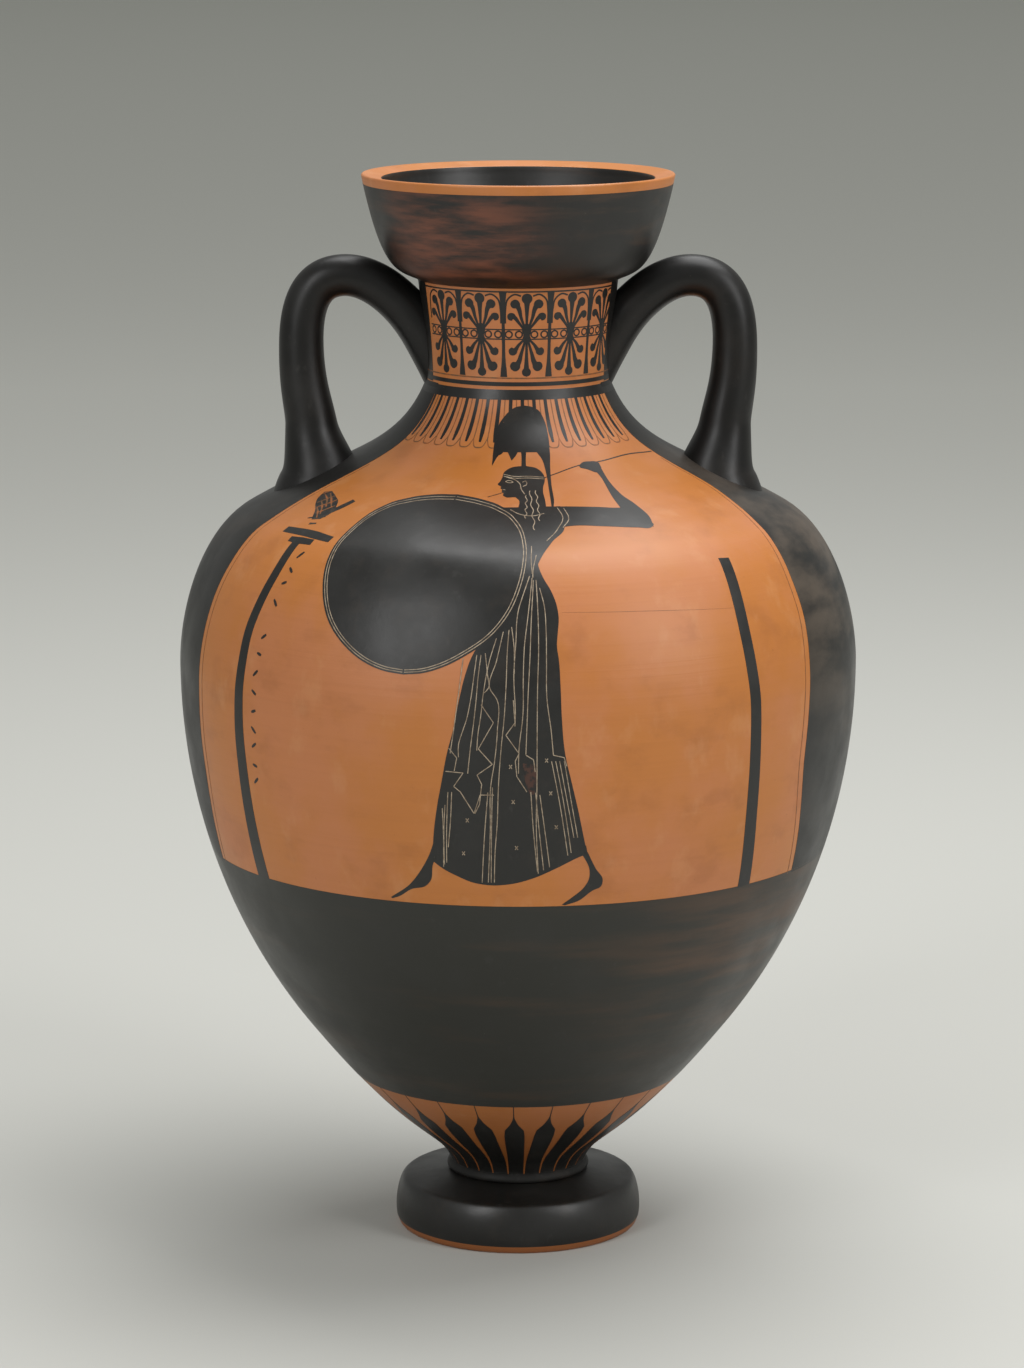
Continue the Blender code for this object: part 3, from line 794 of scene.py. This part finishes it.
class AMPHORA_OT_borders(bpy.types.Operator):
    """Paint the tongues on the shoulder, the rays above the foot and the lines beside the pictures"""
    bl_idname = "amphora.borders"
    bl_label = "Tongues, rays and frame lines"

    def execute(self, context):
        tongues, outlines = [], []
        for place in (on_front, on_back):
            for a in TONGUE_ARCS:
                tongues.append(stroke([(a, 509.4), (a, 497.0), (a + 0.4, 486.2)],
                                      [2.0, 2.0, 2.1, 2.3, 2.4, 1.3], place, count=14))
                b = a + HALF_TONGUE
                outlines.append(stroke([(b, 509.4), (b, 498), (b + 0.2, 487.4)], [0.55], place,
                                       0.8 * COAT, count=14))
                outlines.append(stroke([(a - HALF_TONGUE, 488.0), (a - 8.0, 484.6), (a, 483.4),
                                        (a + 8.0, 484.6), (b, 488.0)], [0.5, 0.7, 1.0, 0.7, 0.5],
                                       place, 0.8 * COAT, count=20))
        piece("shoulder_tongues", tongues, "black")
        piece("tongue_outlines", outlines, "dilute")
        rays = []
        for turn in np.arange(RAYS) * 360.0 / RAYS + RAY_START:
            rays.append(stroke([(turn, 37.0), (turn, 66.0), (turn, 99.5)],
                               [8.8, 8.8, 9.2, 9.7, 10.3, 11.0, 11.6, 12.0, 11.2, 4.4, 0.7, 0.5, 0.5],
                               in_degrees, count=40, columns=5))
        piece("foot_rays", rays, "black")
        lines = [stroke([(a + shift, z) for a, z in edge if z < 478], [0.5], place, count=70)
                 for edge, shift in ((PANEL_LEFT, 5.0), (PANEL_RIGHT, -5.0))
                 for place in (on_front, on_back)]
        piece("frame_lines", lines + [band(520.7, 521.5)], "dilute")
        piece("neck_top_line", band(571.0, 571.9), "black")
        return {"FINISHED"}


# ---------------------------------------------------------------- slip: the frieze on the neck

PALMETTE_STEP = 27.7           # degrees from one unit to the next
PALMETTE_STARTS = (-50.4, 129.6)
PALMETTES = 5                  # on each side, from handle to handle
STEM_WIDTH = 1.3               # of a petal at the heart


def palmette(turn):
    """Facing palmettes over a ring chain: petals fan from two hearts, with stems between the units."""
    def petal(points, bulb):
        """The stem swells with the square of its length up to a round end."""
        path = np.array([(turn + a, z) for a, z in points], float)
        reach = np.linalg.norm(np.diff(path, axis=0), axis=1).sum()
        t = np.linspace(0.0, 1.0, 81)
        half = 0.5 * bulb / reach
        knob = bulb * np.sqrt(np.clip(1.0 - ((t - 1.0 + half) / half) ** 2, 0.0, 1.0))
        stem = STEM_WIDTH + (0.66 * bulb - STEM_WIDTH) * np.clip(t / (1.0 - half), 0.0, 1.0) ** 2
        widths = np.where(t > 1.0 - half, np.maximum(knob, 0.1), np.maximum(stem, knob))
        return stroke(path, widths, in_degrees, count=48)
    made = [petal([(0, 550), (0, 560), (0, 570.6)], 6.2),
            petal([(0, 543), (0, 533), (0, 522.0)], 5.2)]
    for side in (-1, 1):
        for points, bulb in (([(0.6, 549), (3.2, 556), (5.4, 563), (9.0, 566.0)], 5.4),
                             ([(1.2, 549.0), (4.6, 553.4), (8.0, 557.0), (11.4, 556.4)], 4.6),
                             ([(0.6, 544), (3.0, 536), (5.4, 529.4), (9.4, 526.4)], 5.8),
                             ([(1.2, 544.0), (4.6, 540.6), (7.6, 537.0), (10.8, 536.6)], 4.8)):
            made.append(petal([(side * a, z) for a, z in points], bulb))
        arch = [(12.6, 553), (12.4, 561), (11.0, 567.2), (7.0, 570.0), (3.4, 569.0)]
        made.append(stroke([(turn + side * a, z) for a, z in arch], [1.0], in_degrees, count=24))
    between = turn + 0.5 * PALMETTE_STEP
    made.append(stroke([(between, 571), (between, 560), (between, 546), (between, 533), (between, 521.8)],
                       [4.4, 3.4, 2.4, 2.0, 1.8, 1.8, 2.4, 1.8, 1.8, 2.0, 2.4, 3.4, 4.0], in_degrees,
                       count=30))
    rings = np.radians(np.linspace(0, 360, 17))
    for middle in (-10.6, -4.6, 4.6, 10.6):
        loop = np.stack([turn + middle + 2.0 * np.cos(rings), 546.6 + 1.9 * np.sin(rings)], -1)
        made.append(stroke(loop, [0.9], in_degrees, count=22))
    for z in (549.4, 543.8):
        made.append(stroke([(turn - 13.8, z), (turn + 13.9, z)], [0.7], in_degrees, count=20))
    made.append(stroke([(turn, 553.0), (turn, 541.0)], [1.6, 4.6, 5.6, 5.0, 3.4, 4.8, 5.2, 1.6],
                       in_degrees, count=14))
    return made


class AMPHORA_OT_frieze(bpy.types.Operator):
    """Paint the chain of palmettes round the neck"""
    bl_idname = "amphora.frieze"
    bl_label = "Palmette frieze"

    def execute(self, context):
        units = []
        for start in PALMETTE_STARTS:
            for turn in start + PALMETTE_STEP * np.arange(PALMETTES):
                units += palmette(turn)
        piece("palmette_frieze", units, "black")
        return {"FINISHED"}


# ---------------------------------------------------------------- slip: the picture on the front

SHIELD_LEFT = [(-62, 461.8), (-84, 461.3), (-108, 459), (-124, 455.5), (-133, 450), (-136, 442),
               (-134.5, 430), (-129, 415), (-118.5, 398), (-105, 386), (-90, 377.6), (-78, 374),
               (-66.5, 372.8)]
SHIELD_RIGHT = [(-60, 461.8), (-36, 460.2), (-16, 457.4), (-2, 453), (5, 447.3), (7.2, 440),
                (6.2, 431.5), (2.7, 420.5), (-3.2, 408.5), (-13, 396.5), (-30, 384.5), (-44, 377.4),
                (-55, 374), (-65.5, 372.8)]
SHIELD_MIDDLE = np.array((-64.0, 420.0))

DRESS_LEFT = [(-4, 436), (-9, 420), (-15, 404), (-22, 392), (-27, 383), (-30, 374), (-33, 361),
              (-36, 345), (-40, 330), (-43.5, 313), (-47, 296), (-49.5, 280), (-50.5, 266)]
DRESS_RIGHT = [(12.5, 436), (12.7, 432), (15.4, 425.5), (20, 418.5), (22.8, 411.5), (23.7, 404),
               (22.8, 397), (22, 390), (22.9, 382), (23.5, 367), (24, 351), (26, 330), (30, 313),
               (34, 297), (38, 280), (40.5, 270.5)]
HEM = [(-50.5, 266), (-45, 262), (-36, 257.5), (-28, 254.3), (-18, 252.7), (-4, 253.6), (9.5, 257.3),
       (23, 263.2), (36, 269.4), (40.5, 271)]


def goddess_body():
    """Silhouette of the striding woman: dress, feet, chest, raised arm and crest, area by area."""
    return [
        fill(DRESS_LEFT, DRESS_RIGHT, on_front, rows=90, columns=24),
        fill([(-50.3, 270), (-5, 273), (39.4, 276)], HEM, on_front, rows=60, columns=8),
        # feet
        fill([(36, 273), (42.4, 260), (42.2, 255.4), (39.3, 250.3), (33, 245), (26.5, 240.4)],
             [(40.5, 272), (46, 261.8), (50.8, 254.5), (50.2, 250.9), (45, 248.4), (37, 242.6),
              (28.5, 240)], on_front, rows=40, columns=5),
        fill([(-49, 279), (-52.2, 270.7), (-58.6, 260), (-66.3, 251), (-80, 241.8)],
             [(-46, 272), (-50.7, 264.3), (-53, 254), (-56, 250.8), (-65.6, 248), (-74.4, 242.8),
              (-79, 241.2)], on_front, rows=40, columns=5),
        # chest
        fill([(-13, 456.8), (-9, 450), (-5, 442), (-4, 434)],
             [(38, 457.1), (37, 449), (24, 441.6), (15.6, 435.2), (12.6, 431.5)], on_front,
             rows=30, columns=14),
        # upper arm, then forearm and fist
        fill([(20, 457.2), (45, 456.9), (70, 456.2), (93, 455.2), (104, 455.4)],
             [(20, 446), (36, 448.2), (46, 448.6), (67, 447.8), (96, 446.2), (106, 445.7),
              (111, 447)], on_front, rows=40, columns=8),
        fill([(93, 450), (93, 455.2), (93.4, 460), (96.2, 465), (98.2, 468.4), (97.6, 471.4)],
             [(109, 446), (112.9, 451), (110, 456.2), (104.6, 461), (103.8, 466), (105.4, 469.4),
              (107.4, 472.2)], on_front, rows=36, columns=6),
        fill([(79.6, 474.3), (86, 475.6), (99, 476), (107, 475.7), (110.3, 475)],
             [(80.6, 473.3), (88, 472.5), (96.5, 470.9), (104, 471), (108.6, 472.8)], on_front,
             rows=20, columns=6),
        # crest with its scalloped lower edge, its stem and its long tail
        fill([(9, 505.8), (-10, 504.2), (-25, 500.2), (-35.4, 494.6), (-38, 487), (-37, 481.5)],
             [(12, 505.8), (30, 504.6), (43.6, 501.4), (49.7, 495.6), (49.2, 486), (46.4, 481.5)],
             on_front, rows=40, columns=20),
        fill([(-37.6, 484), (-36.4, 480), (-34.4, 475.2)],
             [(-19, 484), (-22, 481.5), (-29.6, 479.2), (-34, 475.2)], on_front, rows=16, columns=5),
        fill([(-20, 484), (-14, 480.7), (-9.3, 477.6)], [(2, 484), (-2.8, 480.3), (-8.9, 477.6)],
             on_front, rows=14, columns=5),
        fill([(18, 484), (28.6, 480.7), (33.4, 477), (34, 473), (31.7, 463.4), (30, 456.6)],
             [(48, 484), (46, 480.4), (41, 474.2), (35.8, 465.6), (33.8, 459.3), (31.4, 456.4)],
             on_front, rows=40, columns=5),
        stroke([(8, 483.5), (7.4, 478), (6.8, 474)], [3.6, 2.6, 2.4, 2.8], on_front, count=12),
    ]


def plain_head(place, size=(1.0, 1.0)):
    """A head in profile on everyday proportions: the brow, nose base and chin part the face in thirds."""
    face = np.array([(1, 14), (-6, 12.8), (-10.2, 9.2), (-11.4, 5), (-12.4, 2.6), (-13.9, -0.6),
                     (-12.2, -1.8), (-12.5, -3.4), (-11.6, -4.2), (-12, -5.6), (-11, -6.8),
                     (-11.2, -9), (-9, -10.6), (-5, -10), (-2.8, -12), (-3, -20)], float)
    back = np.array([(2, 14), (8, 12.4), (12, 8), (12.8, 2.5), (11.8, -2), (11.6, -7), (12.4, -12),
                     (13.0, -20)], float)
    return fill(face * size, back * size, place, rows=90, columns=10)


def wavy(start, end, waves, swing, count=40):
    """A line that swings from side to side by a sine of its length."""
    t = np.linspace(0.0, 1.0, count)[:, None]
    start, end = np.array(start, float), np.array(end, float)
    across = np.array((end[1] - start[1], start[0] - end[0]))
    across /= np.linalg.norm(across)
    return start + (end - start) * t + across * swing * np.sin(2 * math.pi * waves * t)


FOLDS = [
    [(7, 426), (2.6, 416), (0, 409), (-1, 403), (-1.4, 394), (-2.6, 375), (-1.8, 350), (-2, 346)],
    [(8.5, 425), (5.5, 405), (3.4, 390), (2.7, 375), (2.4, 352), (0.2, 332), (0, 319)],
    [(9.3, 424), (7.6, 405), (6.4, 382), (5.5, 367), (4.6, 344), (4.1, 330)],
    [(11, 424), (11.4, 412), (11.5, 390), (10.6, 367), (10.3, 335), (10.3, 309), (10.1, 290), (10.9, 272),
     (11.7, 260)],
    [(13, 420), (15.2, 412), (16, 397), (15.8, 382), (15.8, 361), (18, 344), (19.4, 329.5)],
    [(-5.5, 398.5), (-6.2, 390), (-7, 367), (-8, 350), (-9.5, 335), (-11.2, 312), (-12.1, 290), (-13.6, 272),
     (-14.3, 254.5)],
    [(-4, 400), (-2.6, 390), (-2.4, 375)],
    [(-23.7, 385), (-24.9, 374.5), (-26.9, 359), (-29, 349), (-31, 343), (-33.5, 334.5), (-33.5, 328)],
    [(-21.3, 385), (-22.5, 374.5), (-23.7, 359), (-24.9, 347.6), (-26.6, 334.6), (-28.4, 318.7)],
    [(-12.7, 394), (-16.4, 382), (-19.2, 367), (-21.3, 349), (-22.3, 343), (-23.2, 332)],
    [(-8.8, 397.5), (-12.4, 382), (-16, 367), (-12, 361), (-11.7, 343.5), (-13.3, 326), (-15.5, 312),
     (-16.1, 286), (-17.9, 254.5)],
    [(-18.9, 386), (-17.4, 374.5), (-16.8, 367), (-19.1, 364.5)],
    [(-17.2, 308), (-19.2, 286), (-21.6, 254.3)],
    [(-43.4, 298), (-43.4, 280), (-44.3, 263)],
    [(-39.9, 307.6), (-41.4, 285), (-42.3, 265.7)],
    [(-37.7, 307.7), (-39, 290), (-40.9, 275)],
    [(6.9, 308.5), (8.5, 286), (11.2, 261)],
    [(12, 306.7), (15, 286), (18.3, 263.7)],
    [(20.7, 326), (25.1, 304), (30.7, 272)],
    [(22.9, 326), (27.3, 303.6), (32, 281)],
    [(25.5, 326), (30.5, 299), (34.2, 281)],
    [(-41.8, 300), (-43.0, 285), (-43.7, 264.5)],
    [(-14.6, 311), (-15.4, 286), (-16.2, 254.4)],
    [(9.6, 308), (11.8, 286), (14.8, 262)],
    [(18.4, 326), (22.8, 304), (28.8, 270.5)],
    [(-31.4, 383), (-33.2, 366), (-36, 344), (-38.2, 330)],
]
ZIGZAGS = [
    [(-20.8, 358), (-13.9, 348), (-22.3, 333), (-14.6, 324.3), (-23.2, 318), (-20.6, 312.7), (-22, 301),
     (-24.7, 295.6)],
    [(-2.9, 360.7), (-2, 348), (-7, 341), (0.3, 330.6), (-1.8, 326.2), (-0.9, 317.4), (4.7, 308.5)],
    [(4.1, 329.7), (8.4, 327), (9.3, 320)],
    [(19.4, 329.5), (25.4, 328), (27, 323)],
    [(-39, 333), (-34.5, 327.5), (-36, 320)],
    [(-41, 319.6), (-31, 319), (-36.5, 311), (-32.8, 308), (-25.2, 295.6), (-21.6, 306.5), (-13.8, 306.6)],
]
STARS = [(-4.4, 323), (-3, 302.7), (-29.2, 291.4), (-32, 271.7), (-1.1, 275.5), (18.1, 307.5),
         (21.6, 287.6), (15.6, 326.5)]


def goddess_lines(width):
    """Scratched inner drawing: folds, stepped hems, stars, sleeve, neckline, hair and a plain eye."""
    lines = [stroke(path, [width], on_front, SCRATCH) for path in FOLDS]
    for path in ZIGZAGS:
        lines += [stroke(pair, [width], on_front, SCRATCH, count=8) for pair in zip(path, path[1:])]
    for a, z in STARS:
        for b in (-0.8, 0.8):
            lines.append(stroke([(a - b, z - 1.1), (a + b, z + 1.1)], [width], on_front, SCRATCH, count=5))
    lines += [stroke(path, [width], on_front, SCRATCH) for path in (
        [(34.9, 456.4), (37.4, 453), (31, 447.6), (20.5, 442.2)],
        [(40.5, 456.2), (42.4, 452.8), (35, 447.8)],
        [(-7, 455.8), (-0.7, 454.2), (11.6, 453.1), (22.2, 454.1)],
        [(9.2, 440), (8.4, 432.5), (8.8, 427)],
        [(12, 436), (9.4, 429), (9, 425)],
    )]
    lines += [stroke(wavy(start, end, 3.5, 0.9), [width], on_front, SCRATCH, count=40) for start, end in (
        ((12, 464), (12.5, 447)), ((18, 464), (17.5, 451)), ((8, 462), (6, 452)))]
    for scale in (0.975, 0.948):
        for edge in (SHIELD_LEFT, SHIELD_RIGHT):
            ring = SHIELD_MIDDLE + (np.array(edge, float) - SHIELD_MIDDLE) * scale
            lines.append(stroke(ring, [width], on_front, SCRATCH, count=70))
    return lines


def head_lines(place, width, size=(1.0, 1.0)):
    """Scratched lines of a head: almond eye, ear, hairline and headband."""
    paths = [
        [(-9.6, 2.0), (-8.2, 2.9), (-6.4, 2.6), (-5.2, 1.6)],
        [(-9.6, 2.0), (-8.2, 1.1), (-6.4, 1.0), (-5.2, 1.6)],
        [(-10.4, 7.6), (-4, 6.0), (3, 6.2), (12.2, 5.2)],
        [(-10.6, 6.2), (-4, 4.6), (3, 4.8), (12.4, 3.9)],
        [(0, 1.6), (1.6, 2.6), (2.6, 1.0), (1.4, -1.4), (0.2, -1.8)],
        [(-9, 5.4), (-4.4, 3.6), (-1.6, 0.6), (-0.8, -4), (1, -8)],
        [(-11.4, -4.4), (-9.8, -4.6)],
    ]
    return [stroke(np.array(path, float) * size, [width], place, SCRATCH) for path in paths]


HEAD_PLACE = (4.5, 466.8)
HEAD_SIZE = (1.0, 1.28)        # across and up, on the proportions of the plain head


class AMPHORA_OT_goddess(bpy.types.Operator):
    """Paint and incise the armed woman on the front"""
    bl_idname = "amphora.goddess"
    bl_label = "Front figure"

    def execute(self, context):
        width = context.scene.amphora_sizes.incision_width / MM
        place = flat_at(*HEAD_PLACE)
        piece("front_figure", goddess_body(), "black")
        piece("front_figure_head", plain_head(place, HEAD_SIZE), "black")
        shield = fill(SHIELD_LEFT, SHIELD_RIGHT, on_front, 1.5 * COAT, rows=80, columns=40)
        piece("front_figure_shield", shield, "black")
        piece("front_figure_incisions", goddess_lines(width) + head_lines(place, width, HEAD_SIZE),
              "incised")
        spear = [stroke([(-30, 461.2), (43, 471), (80, 474.5), (113, 475.6), (167, 477.3), (224, 476.4)],
                        [0.5, 0.7, 0.8, 0.8], on_front, 1.2 * COAT, count=120)]
        piece("front_figure_spear", spear, "black")
        red = fill([(2.4, 325), (3.4, 316), (6.4, 307)], [(10.0, 324), (10.2, 316), (8.8, 307)],
                   on_front, 1.8 * COAT, rows=12, columns=4)
        piece("front_figure_red", red, "red")
        return {"FINISHED"}


LEFT_SHAFT = [(-171.4, 436), (-172.4, 420.6), (-176.4, 404), (-180.8, 385.7), (-182.4, 367), (-184, 348.7),
              (-184.8, 330), (-184.3, 305), (-184.2, 272.5), (-184.5, 239)]
RIGHT_SHAFT = [(146.6, 428.6), (144.6, 413.6), (143.6, 395), (144.9, 370), (146.5, 352.5), (147.8, 319),
               (149.6, 285), (155.4, 239)]


class AMPHORA_OT_columns(bpy.types.Operator):
    """Paint the two columns that flank the front figure, with the worn bird and the plain dabs"""
    bl_idname = "amphora.columns"
    bl_label = "Front columns"

    def execute(self, context):
        shafts = [stroke(LEFT_SHAFT, [6.4, 7.0, 7.8, 8.8, 9.8, 11.0], on_front, columns=5, count=90),
                  stroke(RIGHT_SHAFT, [7.8, 7.8, 8.2, 8.8, 9.6], on_front, columns=5, count=90),
                  stroke([(-196, 438.9), (-168, 439.1), (-143, 438.0)], [5.0, 5.8, 6.2, 5.0], on_front),
                  stroke([(-181, 435.4), (-157, 435.6)], [4.0, 5.2, 4.4], on_front)]
        piece("front_columns", shafts, "black")
        back = [(-182, 444.8), (-191, 448.4), (-203, 451.2), (-211, 453.6), (-215, 456.0)]
        breast = [(-174, 445.6), (-170, 448.8), (-177, 452.8), (-191, 455.4), (-206, 457.0)]
        worn = [fill(back, breast, on_front)]
        for path, widths in (([(-176, 447.6), (-168.6, 451.6), (-163, 455.2)], [5.0, 4.0, 4.4, 3.6]),
                             ([(-188, 445.0), (-180, 446.2), (-172, 447.4)], [0.6, 2.4, 3.0]),
                             ([(-179, 443.0), (-172.4, 443.6)], [1.8, 1.2])):
            worn.append(stroke(path, widths, on_front))
        piece("front_worn_bird", worn, "thin")
        nicks = [[(-208, 455.2), (-196, 453.6), (-184, 450.6)], [(-203, 456.0), (-191, 454.0), (-178, 451.0)],
                 [(-199, 452.4), (-188, 450.2), (-180, 447.4)], [(-194, 449.8), (-186, 448.2), (-179, 445.9)],
                 [(-202, 451.4), (-197, 453.6), (-193, 455.4)], [(-194, 449.9), (-188, 452.0), (-183, 454.2)],
                 [(-186, 447.4), (-181, 449.6), (-176, 451.8)], [(-213, 455.0), (-209, 456.6)]]
        piece("front_worn_bird_nicks", [stroke(path, [0.6, 1.3, 0.7], on_front, SCRATCH) for path in nicks],
              "dilute")
        heights = np.array([429, 421, 414, 403, 384, 374, 363, 352, 341, 330, 321, 309, 300], float)
        leans = np.resize([1.0, -0.7, 0.4, -1.0, 0.8, -0.3], len(heights))
        dabs = [stroke([(a - 1.9, z - 1.7 * lean), (a + 1.9, z + 1.7 * lean)], [1.0, 1.9, 1.2], on_front,
                       count=6)
                for a, z, lean in zip(np.interp(heights, (302, 365, 430), (-172, -169, -159)), heights,
                                      leans)]
        piece("front_plain_dabs", dabs, "black")
        hair = [stroke([(26, 407.4), (80, 406.0), (141, 402.8)], [0.05, 0.16, 0.20, 0.12, 0.05], on_front,
                       0.6 * COAT, count=120)]
        piece("front_hairline", hair, "dilute")
        return {"FINISHED"}


# ---------------------------------------------------------------- slip: the picture on the back

RUNNER_ARCS = (-92.0, 84.0)
RUNNER_WAIST = 352.0
RUNNER_HEAD = (1.0, 88.0)      # from the waist
RUNNER_LINE = 0.42             # width of an incised line


def runner(arc):
    """A running athlete at true size: body, limbs and head, each a stroke that swells at the muscle."""
    place = flat_at(arc, RUNNER_WAIST, back=True)
    limbs = [
        ([(4, 66), (1, 46), (-1, 24), (2, 4)], [17, 24, 20, 17, 22]),
        ([(1, 8), (-16, -6), (-32, -18)], [20, 22, 18, 11]),
        ([(-31, -15), (-26, -38), (-22, -60)], [11, 13, 8, 5]),
        ([(-20, -59), (-27, -64), (-36, -65)], [6, 6, 3]),
        ([(4, 8), (18, -12), (28, -32)], [20, 21, 17, 11]),
        ([(27, -30), (42, -42), (58, -48)], [11, 12, 8, 5]),
        ([(57, -46), (62, -56), (61, -66)], [6, 6, 3]),
        ([(2, 62), (-18, 52), (-30, 42)], [13, 11, 8]),
        ([(-30, 43), (-42, 52), (-54, 62)], [8, 7, 4.5]),
        ([(6, 62), (22, 50), (34, 40)], [13, 11, 8]),
        ([(34, 41), (40, 30), (50, 20)], [8, 7, 4.5]),
    ]

    def above(grid):
        return place(grid + RUNNER_HEAD)
    body = [stroke(path, widths, place, columns=5, count=24) for path, widths in limbs]
    return body + [plain_head(above)], head_lines(above, RUNNER_LINE) + [
        stroke(path, [RUNNER_LINE], place, SCRATCH) for path in (
            [(-6, 60), (-2, 52), (6, 50), (12, 56)], [(-4, 34), (0, 31), (5, 33)],
            [(-9, 12), (0, 6), (12, 10)], [(-26, -14), (-30, -20)], [(24, -28), (31, -30)])]


class AMPHORA_OT_back(bpy.types.Operator):
    """Paint two plain runners on the back"""
    bl_idname = "amphora.back"
    bl_label = "Back picture"

    def execute(self, context):
        bodies, lines = [], []
        for arc in RUNNER_ARCS:
            made, scratched = runner(arc)
            bodies += made
            lines += scratched
        piece("back_runners", bodies, "black")
        piece("back_runner_incisions", lines, "incised")
        return {"FINISHED"}


# ---------------------------------------------------------------- stage

CAMERA_PLACE = (-0.0036, -2.7168, 0.8572)
CAMERA_DOWN = 10.96            # degrees below level
LENS_MM = 122.2
SENSOR_MM = 36.0
FLOOR_RINGS = np.array([0.0, 0.3, 0.8, 2.0, 5.0, 12.0, 40.0])
FLOOR_SIDES = 96
AIR_STRENGTH = 0.76
SOFT_BOXES = (                 # name, place, aim, width and height, watts
    ("soft_box_left", (-1.60, -2.05, 1.65), (0.0, 0.0, 0.48), (0.8, 1.8), 27.0),
    ("soft_box_right", (2.10, -1.60, 1.65), (0.0, 0.0, 0.48), (0.9, 1.8), 32.0),
    ("soft_box_top", (0.45, 0.35, 2.5), (0.0, 0.0, 0.36), (2.4, 1.6), 60.0),
)


def soft_box(name, place, aim, size, power):
    """A large oblong area light aimed at a point."""
    lamp = bpy.data.lights.new(name, "AREA")
    lamp.shape = "RECTANGLE"
    lamp.size, lamp.size_y = size
    lamp.energy = power
    item = bpy.data.objects.new(name, lamp)
    item.location = place
    item.rotation_euler = (Vector(aim) - Vector(place)).to_track_quat("-Z", "Y").to_euler()
    bpy.context.scene.collection.objects.link(item)


def studio_floor(near):
    """Seamless pale paper on the floor, paler a few metres behind the pot."""
    found, tree, coords = new_material("studio_paper_matt")
    flat = add(tree, "VectorMath", {0: coords, 1: (1.0, 1.0, 0.0)}, operation="MULTIPLY")
    away = add(tree, "VectorMath", {0: flat.outputs["Vector"]}, operation="LENGTH").outputs["Value"]
    # Painted light on the paper: darker next to the pot as painted shadow, paler out to 4 m, and darker again
    # past 4.5 m as painted fall-off of the light
    middle = add(tree, "MapRange", {"Value": away, "From Min": 0.3, "From Max": 4.0}).outputs["Result"]
    last = add(tree, "MapRange", {"Value": away, "From Min": 4.5, "From Max": 16.0}).outputs["Result"]
    tint = layers(tree, (*near, 1.0), (middle, (*linear("#e3e3dd"), 1.0)), (last, (*linear("#cbccc5"), 1.0)))
    grain = blotches(tree, coords, (900.0, 900.0, 900.0), 0.3, 0.7)
    surface(tree, tint, 0.8, grain, 0.00002, **{"Specular IOR Level": 0.2})
    return found


class AMPHORA_OT_stage(bpy.types.Operator):
    """Set the floor, the soft lights and the camera"""
    bl_idname = "amphora.stage"
    bl_label = "Stage"

    def execute(self, context):
        turn = np.linspace(0.0, 2 * math.pi, FLOOR_SIDES, endpoint=False)
        reach = FLOOR_RINGS[:, None]
        points = np.stack([reach * np.cos(turn), reach * np.sin(turn), 0.0 * reach * turn], -1)
        index = np.arange(points.size // 3).reshape(points.shape[:2])
        index = np.hstack([index, index[:, :1]])
        quads = quads_of(index)[:, ::-1]
        mesh = bpy.data.meshes.new("studio_floor")
        mesh.from_pydata(points.reshape(-1, 3).tolist(), [], quads.tolist())
        mesh.validate()
        mesh.materials.append(studio_floor(tuple(context.scene.amphora_colours.floor)))
        floor = bpy.data.objects.new("studio_floor", mesh)
        context.scene.collection.objects.link(floor)

        for box in SOFT_BOXES:
            soft_box(*box)

        world = bpy.data.worlds.new("studio_air")
        world.use_nodes = True
        air = world.node_tree.nodes["Background"]
        air.inputs["Color"].default_value = (*linear("#b4b5b2"), 1.0)
        air.inputs["Strength"].default_value = AIR_STRENGTH
        context.scene.world = world

        lens = bpy.data.cameras.new("camera")
        lens.lens = LENS_MM
        lens.sensor_width = SENSOR_MM
        lens.sensor_fit = "AUTO"
        lens.clip_end = 100.0
        camera = bpy.data.objects.new("camera", lens)
        camera.matrix_world = (Matrix.Translation(CAMERA_PLACE)
                               @ Matrix.Rotation(math.radians(90.0 - CAMERA_DOWN), 4, "X"))
        context.scene.collection.objects.link(camera)
        context.scene.camera = camera
        context.scene.view_settings.view_transform = "Standard"
        return {"FINISHED"}


# ---------------------------------------------------------------- sidebar and registration

STEPS = ("body", "neck", "mouth", "foot", "handles", "zones", "borders", "frieze", "goddess",
         "columns", "back", "stage")


class AMPHORA_PT_sidebar(bpy.types.Panel):
    """Lists the steps, sizes and colours of the amphora"""
    bl_label = "Amphora"
    bl_space_type = "VIEW_3D"
    bl_region_type = "UI"
    bl_category = "Amphora"

    def draw(self, context):
        column = self.layout.column()
        for step in STEPS:
            column.operator("amphora." + step)
        for group in (context.scene.amphora_sizes, context.scene.amphora_colours):
            for name in group.__annotations__:
                column.prop(group, name)


CLASSES = (AmphoraSizes, AmphoraColours, AMPHORA_OT_body, AMPHORA_OT_neck, AMPHORA_OT_mouth,
           AMPHORA_OT_foot, AMPHORA_OT_handles, AMPHORA_OT_zones, AMPHORA_OT_borders,
           AMPHORA_OT_frieze, AMPHORA_OT_goddess, AMPHORA_OT_columns, AMPHORA_OT_back,
           AMPHORA_OT_stage, AMPHORA_PT_sidebar)


def register():
    """Register the classes and hang the two property groups on the scene."""
    for item in CLASSES:
        bpy.utils.register_class(item)
    bpy.types.Scene.amphora_sizes = PointerProperty(type=AmphoraSizes)
    bpy.types.Scene.amphora_colours = PointerProperty(type=AmphoraColours)


def unregister():
    """Take the property groups and the classes away again."""
    del bpy.types.Scene.amphora_sizes
    del bpy.types.Scene.amphora_colours
    for item in reversed(CLASSES):
        bpy.utils.unregister_class(item)


def main():
    register()
    for step in STEPS:
        getattr(bpy.ops.amphora, step)()


if __name__ == "__main__":
    main()
